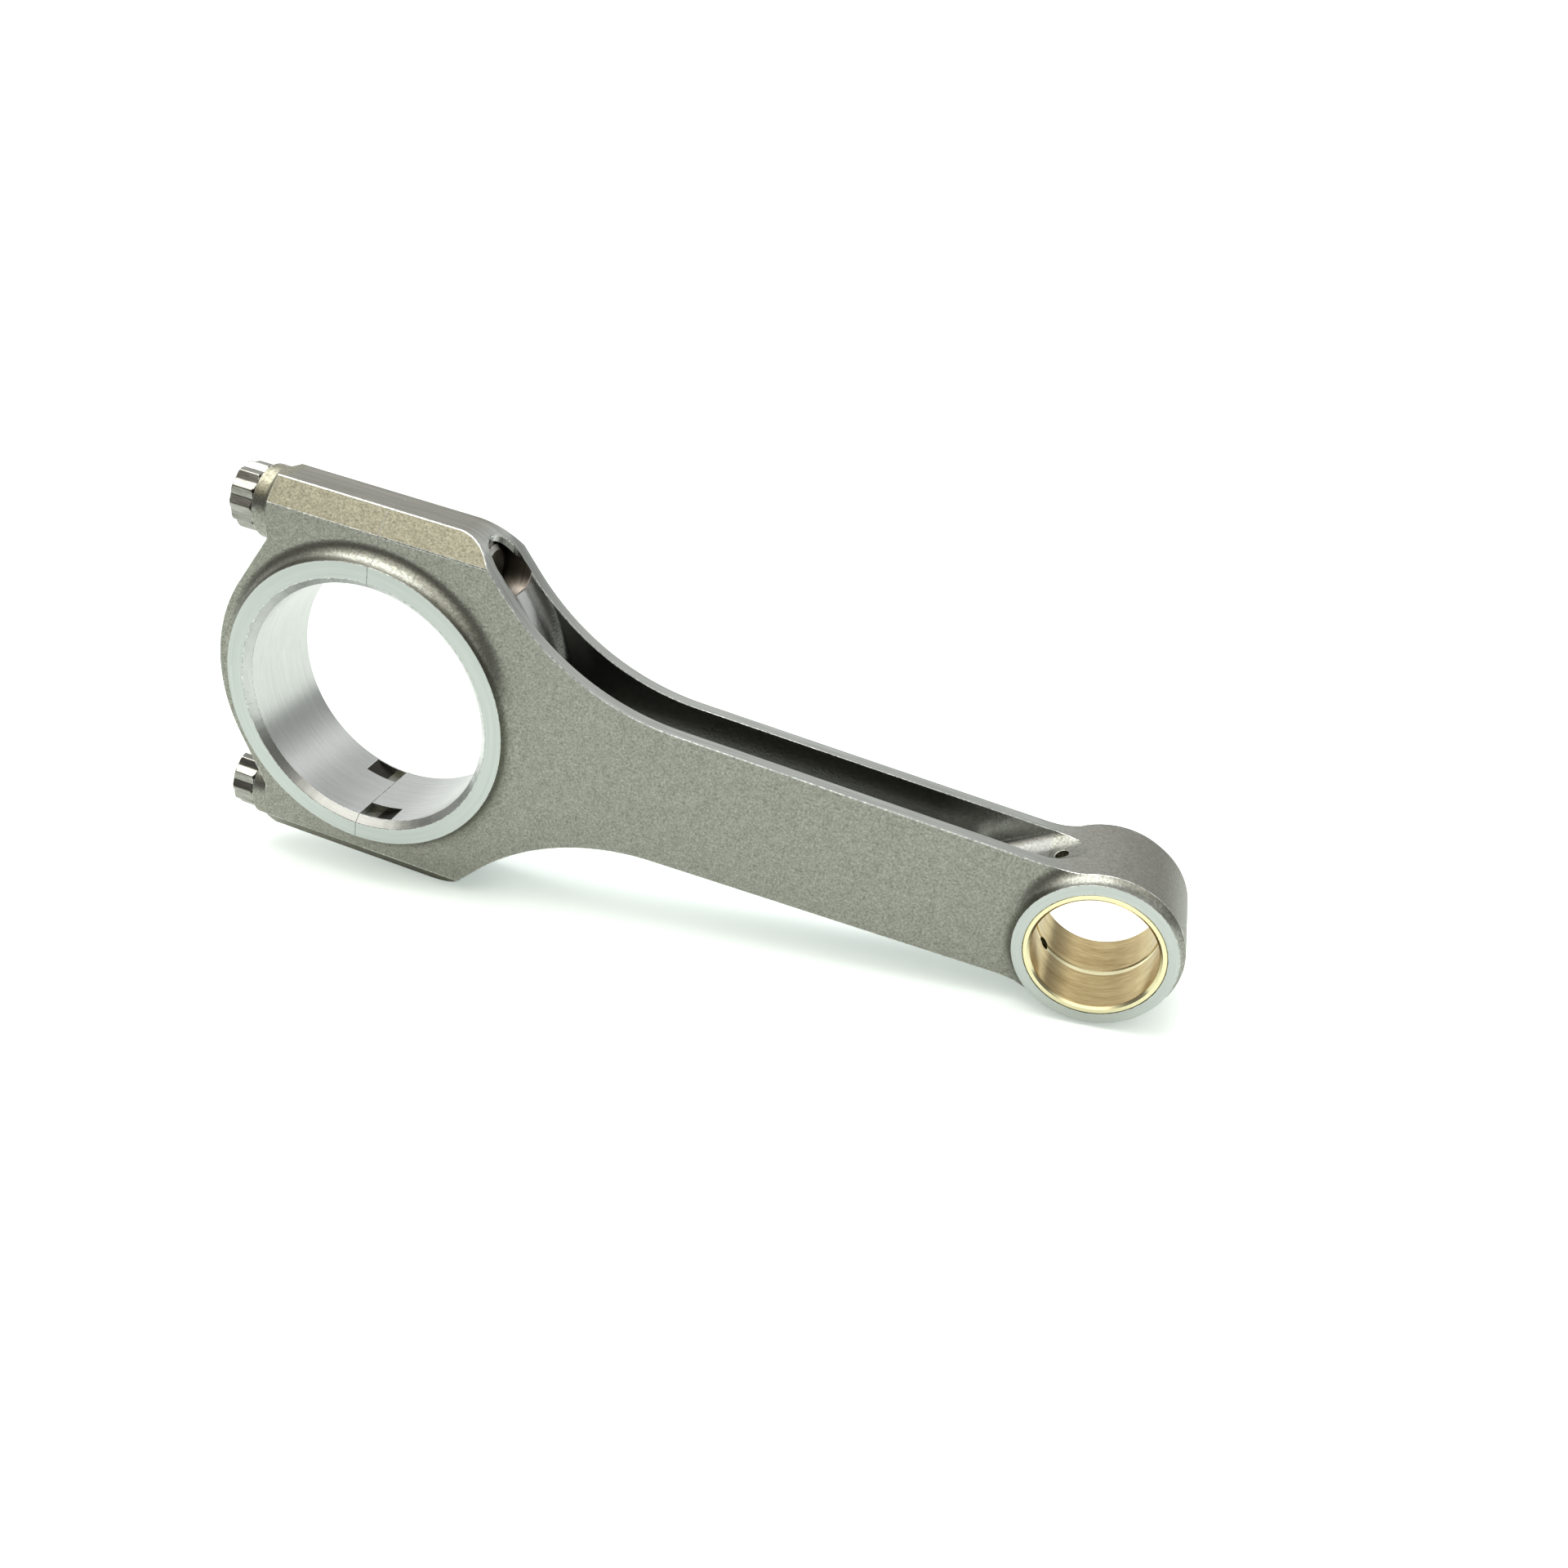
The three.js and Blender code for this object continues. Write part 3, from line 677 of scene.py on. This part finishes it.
def raised(tree, shader, height, depth):
    """Feeds Normal with a bump of that depth in millimetres."""
    bump = add(tree, "Bump", {"Height": height, "Distance": depth * MILLIMETRE, "Strength": 1})
    tree.links.new(bump.outputs[0], shader.inputs["Normal"])


def blasted_steel():
    """Shot-blasted grey steel with a salt and pepper grain, straw-coloured on the pads."""
    material, tree, shader = metal("blasted_steel")
    position = own_position(tree)
    grain = placed(tree, blasted_grain_group, {"Position": position})
    steel = blended(tree, grain["Speck"], (0.20, 0.20, 0.172), (0.43, 0.44, 0.385))
    out = combined(tree, "ABSOLUTE", part_of(tree, position, "Z"), 0)
    pad_edge = HALF_HEIGHT - BEVEL_HEIGHT
    pad = remapped(tree, out, pad_edge, pad_edge + 0.1, 0, 1)
    straw = (0.92, 0.88, 0.76)
    coloured(tree, shader, blended(tree, pad, steel, straw, "MULTIPLY"))
    tree.links.new(remapped(tree, grain["Speck"], 0, 1, 0.38, 0.28), shader.inputs["Roughness"])
    raised(tree, shader, grain["Height"], 0.016)
    return material


def milled_steel():
    """Milled flange edges with fine lines along the cut, browner on the side flats, which fade
    into the blasted grain round the pin eye."""
    material, tree, shader = metal("milled_steel")
    position = own_position(tree)
    marks = placed(tree, tool_marks_group, {"Position": position, "Stretch": (0.12, 3.2, 0.12)})
    grain = placed(tree, blasted_grain_group, {"Position": position})
    along = part_of(tree, position, "X")
    at_eye = remapped(tree, along, PIN_X - 16, PIN_X - 6, 0, 1)
    on_flat = remapped(tree, along, 14, 19, 1, 0)
    spots = {0: at_eye, "A": marks["Streak"], "B": grain["Speck"]}
    cut = add(tree, "Mix", spots, data_type="FLOAT").outputs["Result"]
    steel = blended(tree, cut, (0.35, 0.365, 0.34), (0.56, 0.585, 0.55))
    tone_and_painted_highlight = combined(tree, "MAXIMUM", on_flat, combined(tree, "MULTIPLY", at_eye, 0.8))
    brown = (0.62, 0.58, 0.53)
    coloured(tree, shader, blended(tree, tone_and_painted_highlight, steel, brown, "MULTIPLY"))
    tree.links.new(remapped(tree, at_eye, 0, 1, 0.33, 0.42), shader.inputs["Roughness"])
    rise = combined(tree, "MULTIPLY", grain["Height"], remapped(tree, at_eye, 0, 1, 0.18, 1))
    rise = combined(tree, "ADD", rise, combined(tree, "MULTIPLY", marks["Height"], 0.15))
    raised(tree, shader, rise, 0.05)
    return material


def channel_steel():
    """The channels, milled with a round-nosed cutter and then lightly blasted, with a painted highlight
    on the floor beside the bolt, and painted shade along the beam, up the walls and at the start."""
    material, tree, shader = metal("channel_steel")
    position = own_position(tree)
    marks = placed(tree, tool_marks_group, {"Position": position, "Stretch": (0.15, 2.0, 2.0)})
    grain = placed(tree, blasted_grain_group, {"Position": position})
    along = part_of(tree, position, "X")
    aside = combined(tree, "ABSOLUTE", part_of(tree, position, "Y"), 0)
    at_start = remapped(tree, along, 21.5, 24, 1, 0)
    before_beam = remapped(tree, along, 34, 37, 1, 0)
    past_crank = remapped(tree, along, 33, 36, 0, 1)
    before_ramp = remapped(tree, along, 106, 112, 1, 0)
    at_eye = remapped(tree, along, PIN_X - 20, PIN_X - 14, 0, 1)
    in_middle = remapped(tree, aside, 1.2, 2.2, 1, 0)
    at_wall = remapped(tree, aside, 2.0, 4.4, 0, 1)
    beam = combined(tree, "MULTIPLY", past_crank, before_ramp)
    wall = combined(tree, "MULTIPLY", at_wall, before_ramp)
    floor = combined(tree, "MULTIPLY", in_middle, before_beam)
    # Painted shade: the beam's channel, the walls and the start are darkened towards near black.
    deep = combined(tree, "MAXIMUM", combined(tree, "MAXIMUM", beam, at_start), wall)
    steel = blended(tree, grain["Speck"], (0.29, 0.295, 0.275), (0.44, 0.45, 0.42))
    bright = (0.95, 0.97, 0.94)
    painted_shade = (0.03, 0.032, 0.028)
    # Painted highlight: the floor beside the bolt is taken towards near white.
    tone_and_painted_highlight = blended(tree, floor, steel, bright)
    coloured(tree, shader, blended(tree, remapped(tree, deep, 0, 1, 0, 0.45), tone_and_painted_highlight, painted_shade))
    tree.links.new(remapped(tree, at_eye, 0, 1, 0.27, 0.42), shader.inputs["Roughness"])
    rise = combined(tree, "MULTIPLY", marks["Height"], 0.4)
    raised(tree, shader, combined(tree, "ADD", rise, grain["Height"]), 0.016)
    return material


def ground_steel():
    """Bright ground thrust faces, with arcs of fine lines about the bore they belong to, and the
    parting faces, where the lines run straight across the thickness."""
    material, tree, shader = metal("ground_steel", roughness=0.34)
    position = own_position(tree)
    half_way = PIN_X / 2
    at_pin = remapped(tree, part_of(tree, position, "X"), half_way - 1, half_way + 1, 0, PIN_X)
    middle = add(tree, "CombineXYZ", {"X": at_pin})
    from_bore = add(tree, "VectorMath", {0: position, 1: middle.outputs[0]}, operation="SUBTRACT")
    wound = placed(tree, round_position_group, {"Position": from_bore.outputs[0], "Radius": 20.0})
    marks = placed(tree, tool_marks_group, {"Position": wound["Wound"], "Stretch": (4.5, 0.1, 0.12)})
    coloured(tree, shader, blended(tree, marks["Streak"], (0.52, 0.565, 0.54), (0.62, 0.66, 0.635)))
    raised(tree, shader, marks["Height"], 0.006)
    return material


def honed_steel():
    """The honed bore and its chamfers: a fine cross-hatch round the bore."""
    material, tree, shader = metal("honed_steel", roughness=0.26)
    turn = {"Position": own_position(tree), "Radius": CRANK_RADIUS}
    wound = placed(tree, round_position_group, turn)
    marks = placed(tree, tool_marks_group, {"Position": wound["Wound"], "Stretch": (0.1, 9.0, 0.4)})
    coloured(tree, shader, blended(tree, marks["Streak"], (0.56, 0.58, 0.56), (0.66, 0.685, 0.665)))
    raised(tree, shader, marks["Height"], 0.006)
    return material


def drilled_steel():
    """The tapped holes and the tang slots, with fine rings, and painted shade that makes them near
    black except where the trough behind each hole opens into its channel."""
    material, tree, shader = metal("drilled_steel", roughness=0.36)
    position = own_position(tree)
    marks = placed(tree, tool_marks_group, {"Position": position, "Stretch": (3.0, 0.3, 0.3)})
    clean = blended(tree, marks["Streak"], (0.21, 0.18, 0.15), (0.40, 0.36, 0.31))
    # Painted shade: the holes and slots are darkened to near black up to x = 19 mm, fading out by 23.5
    # mm.
    painted_shade_share = remapped(tree, part_of(tree, position, "X"), 19, 23.5, 0.9, 0)
    painted_shade = (0.02, 0.02, 0.018)
    coloured(tree, shader, blended(tree, painted_shade_share, clean, painted_shade))
    raised(tree, shader, marks["Height"], 0.01)
    return material


def broken_edge_steel():
    """Edges that are broken by hand to bare bright steel, and lightened further as a painted highlight.
    """
    material, tree, shader = metal("broken_edge_steel", roughness=0.36)
    rub = add(tree, "TexNoise", {"Vector": own_position(tree), "Scale": 1.6, "Detail": 3})
    spots = remapped(tree, rub.outputs["Fac"], 0.35, 0.7, 0, 1)
    # The light end of this colour is partly the bare edge's own and partly a painted highlight.
    coloured(tree, shader, blended(tree, spots, (0.36, 0.37, 0.35), (0.88, 0.91, 0.86)))
    return material


steel_finishes = [
    blasted_steel(),
    milled_steel(),
    channel_steel(),
    ground_steel(),
    honed_steel(),
    drilled_steel(),
    broken_edge_steel(),
]

rod_sides = rod_outline()
forged_rod = plate("forged_rod", rod_sides, -HALF_FACE - 1, HALF_FACE + 1)
crank_boss = thrust_boss(0, CRANK_RING, CRANK_FACETS)
pin_boss = thrust_boss(PIN_X, PIN_RING, PIN_FACETS)
combine(forged_rod, [body_and_bosses(crank_boss, pin_boss)], "INTERSECT")
crank_end(forged_rod, -1, THREAD_START + 1)
cuts = [bore(PIN_X, BUSH_SEAT, 0, PIN_FACETS), tang_slot(-TANG_OFFSET)]
for side in (-1, 1):
    bolt_z = side * BOLT_OFFSET
    cuts += [threaded_bar(bolt_z), round_bar(TROUGH_RADIUS, THREAD_END - 0.2, TROUGH_END, bolt_z)]
    cuts += [channel(side), oil_hole(side)]
combine(forged_rod, cuts, "DIFFERENCE")
name_finishes(forged_rod, rod_sides)
break_edges(forged_rod, rod_edge_share)
show_smooth(forged_rod)
hand_over(forged_rod, "rod", "rod_body")


# ----------------------------------------------------------------------------------------------
# Bearing cap
# ----------------------------------------------------------------------------------------------
# The other half of the crank end, of the same forging: a thick arc with a round boss under each
# bolt head. It is bored together with the rod, so the bore and the side flats run straight on.

CAP_RADIUS = 32.4
CAP_SEAT = 22.3
CAP_FACE = 26.0
CAP_CORNER = 1.5
CAP_FLARE = math.radians(150)
BOSS_RADIUS = 6.9
BOSS_FILLET = 1.2
BOSS_CHAMFER = 0.35


def cap_outline():
    """Side flat, corner, bolt seat, straight flare, and the arc round the bore."""
    touch = CAP_RADIUS * np.array([math.cos(CAP_FLARE), math.sin(CAP_FLARE)])
    run = (-CAP_SEAT - touch[0]) / math.sin(CAP_FLARE)
    foot = (-CAP_SEAT, touch[1] - run * math.cos(CAP_FLARE))
    start, corner = (-PARTING_GAP, HALF_HEIGHT), (-CAP_SEAT, HALF_HEIGHT)
    return mirrored(np.vstack([
        [start],
        rounded_corner(start, corner, foot, CAP_CORNER),
        [foot],
        arc((0, 0), CAP_RADIUS, CAP_FLARE, math.pi),
    ]))


def bolt_boss(z):
    """The turned seat of a bolt head, with a small chamfer and a hollow fillet at its foot."""
    foot = (BOSS_RADIUS + BOSS_FILLET, -CAP_SEAT - BOSS_FILLET)
    profile = np.vstack([
        [[0, -CAP_FACE]],
        [[BOSS_RADIUS - BOSS_CHAMFER, -CAP_FACE], [BOSS_RADIUS, -CAP_FACE + BOSS_CHAMFER]],
        arc(foot, BOSS_FILLET, math.pi, math.pi / 2, facet=0.2),
        [[foot[0], -CAP_SEAT + 2], [0, -CAP_SEAT + 2]],
    ])
    return turned("boss", profile, 120, axis="X", centre=(0, 0, z))


def cap_edge_share(middle):
    """Less for the rings and the bosses, and none inside the bolt holes."""
    x, y, z = middle.T
    from_bolt = np.hypot(y, np.abs(z) - BOLT_OFFSET)
    share = np.ones(len(x))
    share[np.hypot(x, z) < CRANK_RING + 0.1] = 0.5
    share[(np.hypot(x, z) < TANG_TOP) & (np.abs(y) < HALF_FACE - 0.1)] = 0.25
    share[(x < -CAP_SEAT + 0.6) & (from_bolt < BOSS_RADIUS + BOSS_FILLET + 0.2)] = 0.25
    share[from_bolt < SLEEVE_SEAT + 0.05] = 0
    return share


cap_sides = cap_outline()
machined_cap = plate("machined_cap", cap_sides, -HALF_FACE - 1, HALF_FACE + 1)
crank_boss = thrust_boss(0, CRANK_RING, CRANK_FACETS)
combine(machined_cap, [body_and_bosses(crank_boss)], "INTERSECT")
high, wide = HALF_HEIGHT, 60
block = np.array([[-wide, -high], [wide, -high], [wide, high], [-wide, high]])
for side in (-1, 1):
    boss = bolt_boss(side * BOLT_OFFSET)
    combine(boss, [plate("block", block, -HALF_BODY, HALF_BODY)], "INTERSECT")
    combine(machined_cap, [boss], "UNION")
crank_end(machined_cap, -CAP_FACE - 1, 1)
combine(machined_cap, [tang_slot(TANG_OFFSET)], "DIFFERENCE")
name_finishes(machined_cap, cap_sides)
break_edges(machined_cap, cap_edge_share)
show_smooth(machined_cap)
hand_over(machined_cap, "cap", "bearing_cap")


# ----------------------------------------------------------------------------------------------
# Cap bolts
# ----------------------------------------------------------------------------------------------
# Two twelve-point bolts of hard alloy steel with rolled threads. Each passes through the cap and
# its sleeve and screws into the rod, and its tip shows at the start of the channel.

HEAD_HEX = 5.5
HEAD_TURNED = 6.28
HEAD_SEAT = -26.5
HEAD_END = -31.4
BEARING_FACE = -26.05
BEARING_RADIUS = 5.6
HEAD_DISH = 0.45
RUN_IN_START = 1.0
TIP_X = 19.2
TIP_CHAMFER = 1.2
TIP_DISH = 0.25
BOLT_COLUMNS = 240


def twelve_points(angle):
    """The radius of two hexagons a twelfth of a turn apart, laid over each other."""
    sixth = math.pi / 3
    first = np.cos(angle % sixth - sixth / 2)
    second = np.cos((angle + sixth / 2) % sixth - sixth / 2)
    return HEAD_HEX / np.minimum(first, second)


def head_profile():
    """Rows of x and the turned radius there: the dished end, the head's chamfers, the bearing
    face under it and the start of the plain shank."""
    return np.array([
        (HEAD_END + HEAD_DISH, 1.9),
        (HEAD_END + 0.4, 2.5),
        (HEAD_END + 0.1, 3.0),
        (HEAD_END, 3.2),
        (HEAD_END, 5.0),
        (HEAD_END + 0.08, 5.25),
        (HEAD_END + 0.55, 6.05),
        (HEAD_END + 0.75, 6.25),
        (HEAD_END + 1.0, 6.6),
        (HEAD_SEAT - 0.5, 6.6),
        (HEAD_SEAT - 0.2, 6.25),
        (HEAD_SEAT, 5.95),
        (HEAD_SEAT, BEARING_RADIUS),
        (BEARING_FACE - 0.1, BEARING_RADIUS),
        (BEARING_FACE, BEARING_RADIUS - 0.1),
        (BEARING_FACE, BOLT_RADIUS + 0.05),
        (BEARING_FACE + 0.02, BOLT_RADIUS),
    ])


def cap_bolt(name, z):
    """The radius at x and the angle t: the turned profile, held under the twelve points along
    the head, and the thread, which runs in over one pitch, held under the tip's chamfer."""
    angle = np.linspace(0, 2 * np.pi, BOLT_COLUMNS, endpoint=False)
    head_x, head_radius = head_profile()[:, :1], head_profile()[:, 1:]
    star = np.minimum(twelve_points(angle), HEAD_TURNED)
    head = np.minimum(head_radius, np.where(head_radius > BEARING_RADIUS, star, np.inf))
    screw_x = np.arange(RUN_IN_START, TIP_X, THREAD_PITCH / THREAD_ROWS)
    screw_x = np.concatenate([screw_x, [TIP_X]])[:, None]
    run_in = np.clip((screw_x - RUN_IN_START) / THREAD_PITCH, 0, 1)
    screw = BOLT_RADIUS - run_in * (BOLT_RADIUS - thread_radius(screw_x, angle, BOLT_RADIUS))
    screw = np.minimum(screw, BOLT_RADIUS - TIP_CHAMFER + (TIP_X - screw_x))
    x = np.vstack([head_x, screw_x])
    radius = np.vstack([head, screw])
    points = np.stack([x + 0 * radius, radius * np.cos(angle), radius * np.sin(angle)], -1)
    ends = [[HEAD_END + HEAD_DISH, 0, 0], [TIP_X - TIP_DISH, 0, 0]]
    points = np.vstack([points.reshape(-1, 3), ends]) + [0, 0, z]
    rows = len(x)
    return closed_mesh(name, points, grid_faces(rows, BOLT_COLUMNS) + end_fans(rows, BOLT_COLUMNS))


def bolt_steel():
    """Rolled alloy steel, with fine lines drawn out along the bolt."""
    material, tree, shader = metal("bolt_steel", roughness=0.2)
    lines = {"Position": own_position(tree), "Stretch": (0.5, 2.5, 2.5)}
    marks = placed(tree, tool_marks_group, lines)
    # The slight warm tint of both greys is a painted reflection of the brown surroundings.
    coloured(tree, shader, blended(tree, marks["Streak"], (0.22, 0.215, 0.19), (0.44, 0.44, 0.40)))
    raised(tree, shader, marks["Height"], 0.012)
    return material


rolled_steel = bolt_steel()
for label, side in (("upper", 1), ("lower", -1)):
    bolt = cap_bolt("twelve_point_bolt_" + label, side * BOLT_OFFSET)
    show_smooth(bolt)
    give_materials(bolt, [rolled_steel])
    hand_over(bolt, label + "_bolt", "cap_bolt_" + label)


# ----------------------------------------------------------------------------------------------
# Dowel sleeves
# ----------------------------------------------------------------------------------------------
# A thin hardened sleeve round each bolt at the parting plane, which lines the cap up with the
# rod. It is pressed into the rod, and a chamfer at each end leads it into the cap.

SLEEVE_HALF = 4.0
SLEEVE_INNER = 4.87
SLEEVE_OUTER = 5.46
SLEEVE_CHAMFER = 0.2


def dowel_sleeve(name, z):
    """A ring turned from a thin rectangle whose outer corners are chamfered."""
    lead = SLEEVE_HALF - SLEEVE_CHAMFER
    shoulder = SLEEVE_OUTER - SLEEVE_CHAMFER
    profile = [
        [SLEEVE_INNER, -SLEEVE_HALF], [shoulder, -SLEEVE_HALF], [SLEEVE_OUTER, -lead],
        [SLEEVE_OUTER, lead], [shoulder, SLEEVE_HALF], [SLEEVE_INNER, SLEEVE_HALF],
    ]
    return turned(name, profile, 120, axis="X", centre=(0, 0, z))


def sleeve_steel():
    """Ground dowel steel with fine rings round it."""
    material, tree, shader = metal("sleeve_steel", roughness=0.22)
    lines = {"Position": own_position(tree), "Stretch": (6.0, 0.2, 0.2)}
    marks = placed(tree, tool_marks_group, lines)
    coloured(tree, shader, blended(tree, marks["Streak"], (0.50, 0.50, 0.48), (0.66, 0.67, 0.65)))
    raised(tree, shader, marks["Height"], 0.006)
    return material


dowel_steel = sleeve_steel()
for label, side in (("upper", 1), ("lower", -1)):
    sleeve = dowel_sleeve("hollow_dowel_" + label, side * BOLT_OFFSET)
    show_smooth(sleeve)
    give_materials(sleeve, [dowel_steel])
    hand_over(sleeve, "rod", "dowel_sleeve_" + label)


# ----------------------------------------------------------------------------------------------
# Small-end bush
# ----------------------------------------------------------------------------------------------
# A bronze bush pressed into the pin eye, with an oil groove turned round the middle of its bore
# and the two oil holes drilled on through it.

BUSH_OUTER = 11.75
BUSH_BORE = 10.5
BUSH_CHAMFER = 0.45
GROOVE_HALF = 0.75
GROOVE_DEPTH = 0.16


def bush_ring():
    """A ring turned from the wall's section: chamfered corners and a square groove inside."""
    below_face = 0.03
    end = HALF_FACE - below_face
    lead = end - BUSH_CHAMFER
    deep = BUSH_BORE + GROOVE_DEPTH
    floor_half = GROOVE_HALF - 0.12
    small = 0.15
    profile = [
        [BUSH_OUTER, -end + small],
        [BUSH_OUTER - small, -end],
        [BUSH_BORE + BUSH_CHAMFER, -end],
        [BUSH_BORE, -lead],
        [BUSH_BORE, -GROOVE_HALF],
        [deep, -floor_half],
        [deep, floor_half],
        [BUSH_BORE, GROOVE_HALF],
        [BUSH_BORE, lead],
        [BUSH_BORE + BUSH_CHAMFER, end],
        [BUSH_OUTER - small, end],
        [BUSH_OUTER, end - small],
    ]
    return turned("bronze_bush", profile, 200, centre=(PIN_X, 0, 0))


def bush_bronze():
    """Honed yellow bronze, browner in streaks round the bore and paler where it is only turned."""
    material, tree, shader = metal("bush_bronze", roughness=0.2)
    position = own_position(tree, centre=(PIN_X, 0, 0))
    wound = placed(tree, round_position_group, {"Position": position, "Radius": BUSH_BORE})["Wound"]
    marks = placed(tree, tool_marks_group, {"Position": wound, "Stretch": (0.2, 3.5, 0.3)})
    honed = blended(tree, marks["Streak"], (0.40, 0.29, 0.12), (0.72, 0.58, 0.30))
    distance = part_of(tree, wound, "X")
    only_turned = remapped(tree, distance, BUSH_BORE + 0.03, BUSH_BORE + 0.13, 0, 1)
    pale = (0.94, 0.88, 0.56)
    coloured(tree, shader, blended(tree, only_turned, honed, pale))
    raised(tree, shader, marks["Height"], 0.008)
    return material


bronze_bush = combine(bush_ring(), [oil_hole(side) for side in (-1, 1)], "DIFFERENCE")
show_smooth(bronze_bush)
give_materials(bronze_bush, [bush_bronze()])
hand_over(bronze_bush, "rod", "small_end_bush")


# ----------------------------------------------------------------------------------------------
# Table, light and camera
# ----------------------------------------------------------------------------------------------
# A white table under a light tent: bright overhead and low down, dimmer along the horizon and
# warmer in front, with one large soft lamp above.

TABLE_RADIUS = 0.8
TABLE_GLOW = 0.45


def white_table():
    """A flat round table top whose paper glows a little where it is looked at directly."""
    angle = np.linspace(0, 2 * np.pi, 96, endpoint=False)
    rim = TABLE_RADIUS * np.stack([np.cos(angle), np.sin(angle), 0 * angle], axis=-1)
    mesh = bpy.data.meshes.new("white_table")
    mesh.from_pydata(rim.tolist(), [], [list(range(len(rim)))])
    table = bpy.data.objects.new("white_table", mesh)
    bpy.context.scene.collection.objects.link(table)
    material, tree, shader = metal("white_paper", metallic=0.0, roughness=0.6)
    position = add(tree, "TexCoord", {}).outputs["Object"]
    fibre = add(tree, "TexNoise", {"Vector": position, "Scale": 900.0}).outputs["Fac"]
    coloured(tree, shader, blended(tree, fibre, (0.84, 0.89, 0.86), (0.88, 0.93, 0.90)))
    shader.inputs["Emission Color"].default_value = (0.9, 1.0, 0.94, 1)
    seen = add(tree, "LightPath", {}).outputs["Is Camera Ray"]
    glow = combined(tree, "MULTIPLY", seen, TABLE_GLOW)
    tree.links.new(glow, shader.inputs["Emission Strength"])
    mesh.materials.append(material)


def brightness_by_height(tree, height, bands):
    """A ramp of grey levels, given as pairs of the sine of the height and the level there."""
    ramp_node = add(tree, "ValToRGB", {"Fac": remapped(tree, height, -1, 1, 0, 1)})
    ramp = ramp_node.color_ramp
    for place, (sine, level) in enumerate(bands):
        at = (sine + 1) / 2
        stop = ramp.elements[place] if place < 2 else ramp.elements.new(at)
        stop.position = at
        stop.color = (level, level, level, 1)
    return ramp_node.outputs["Color"]


def light_tent():
    """The world's brightness by height over the horizon, apart for the back, the left of it and
    the front. The front is dark and warm low down, where the room is open, and has a bright sheet
    higher up."""
    world = bpy.data.worlds.new("light_tent")
    world.use_nodes = True
    tree = world.node_tree
    bpy.context.scene.world = world
    direction = add(tree, "TexCoord", {}).outputs["Generated"]
    looking = add(tree, "SeparateXYZ", {"Vector": direction}).outputs
    behind = brightness_by_height(tree, looking["Z"], (
        (-1, 0.9), (-0.15, 0.8), (-0.02, 0.4), (0.14, 0.36), (0.34, 0.6), (0.48, 1.1), (0.56, 1.0),
        (0.66, 0.45), (0.8, 0.6), (1, 1.15),
    ))
    left = brightness_by_height(tree, looking["Z"], (
        (-1, 0.9), (-0.15, 1.0), (0.2, 1.05), (0.34, 0.9), (0.5, 0.7), (0.66, 0.5), (1, 1.15),
    ))
    front = brightness_by_height(tree, looking["Z"], (
        (-1, 0.9), (-0.15, 0.8), (-0.02, 0.14), (0.45, 0.14), (0.62, 0.5), (0.72, 1.4), (0.9, 1.4),
        (1, 1.15),
    ))
    warm = blended(tree, 1.0, front, (1.04, 1.0, 0.93), "MULTIPLY")
    to_left = remapped(tree, looking["X"], -0.05, -0.6, 0, 1)
    to_front = remapped(tree, looking["Y"], 0.3, -0.3, 0, 1)
    back = blended(tree, to_left, behind, left)
    all_round = blended(tree, to_front, back, warm)
    seen = add(tree, "LightPath", {}).outputs["Is Camera Ray"]
    white = blended(tree, seen, all_round, (1.1, 1.1, 1.1))
    tree.links.new(white, tree.nodes["Background"].inputs["Color"])


def soft_lamp(name, place, aim, size, power):
    """A square area lamp that looks at a point."""
    lamp = bpy.data.lights.new(name, "AREA")
    lamp.shape = "SQUARE"
    lamp.size = size
    lamp.energy = power
    holder = bpy.data.objects.new(name, lamp)
    holder.location = place
    holder.rotation_euler = (Vector(aim) - Vector(place)).to_track_quat("-Z", "Y").to_euler()
    bpy.context.scene.collection.objects.link(holder)


white_table()
light_tent()
soft_lamp("overhead", (-0.2, 0.1, 0.9), (0, 0, 0), 0.8, 6.0)

VIEW_FROM = (110.55, -205.37, 126.84)
VIEW_TO = (66.02, 0.0, -3.27)
ROLL = math.radians(0.338)
lens = bpy.data.cameras.new("camera")
lens.sensor_width = 36
lens.lens = 30.766
lens.shift_x = 0.04856
lens.shift_y = 0.01576
lens.clip_start = 0.01
camera = bpy.data.objects.new("camera", lens)
eye, target = to_part_frame @ Vector(VIEW_FROM), to_part_frame @ Vector(VIEW_TO)
looking = (target - eye).to_track_quat("-Z", "Y").to_matrix().to_4x4()
camera.matrix_world = Matrix.Translation(eye) @ looking @ Matrix.Rotation(ROLL, 4, "Z")
bpy.context.scene.collection.objects.link(camera)
bpy.context.scene.camera = camera
bpy.context.scene.view_settings.view_transform = "Standard"
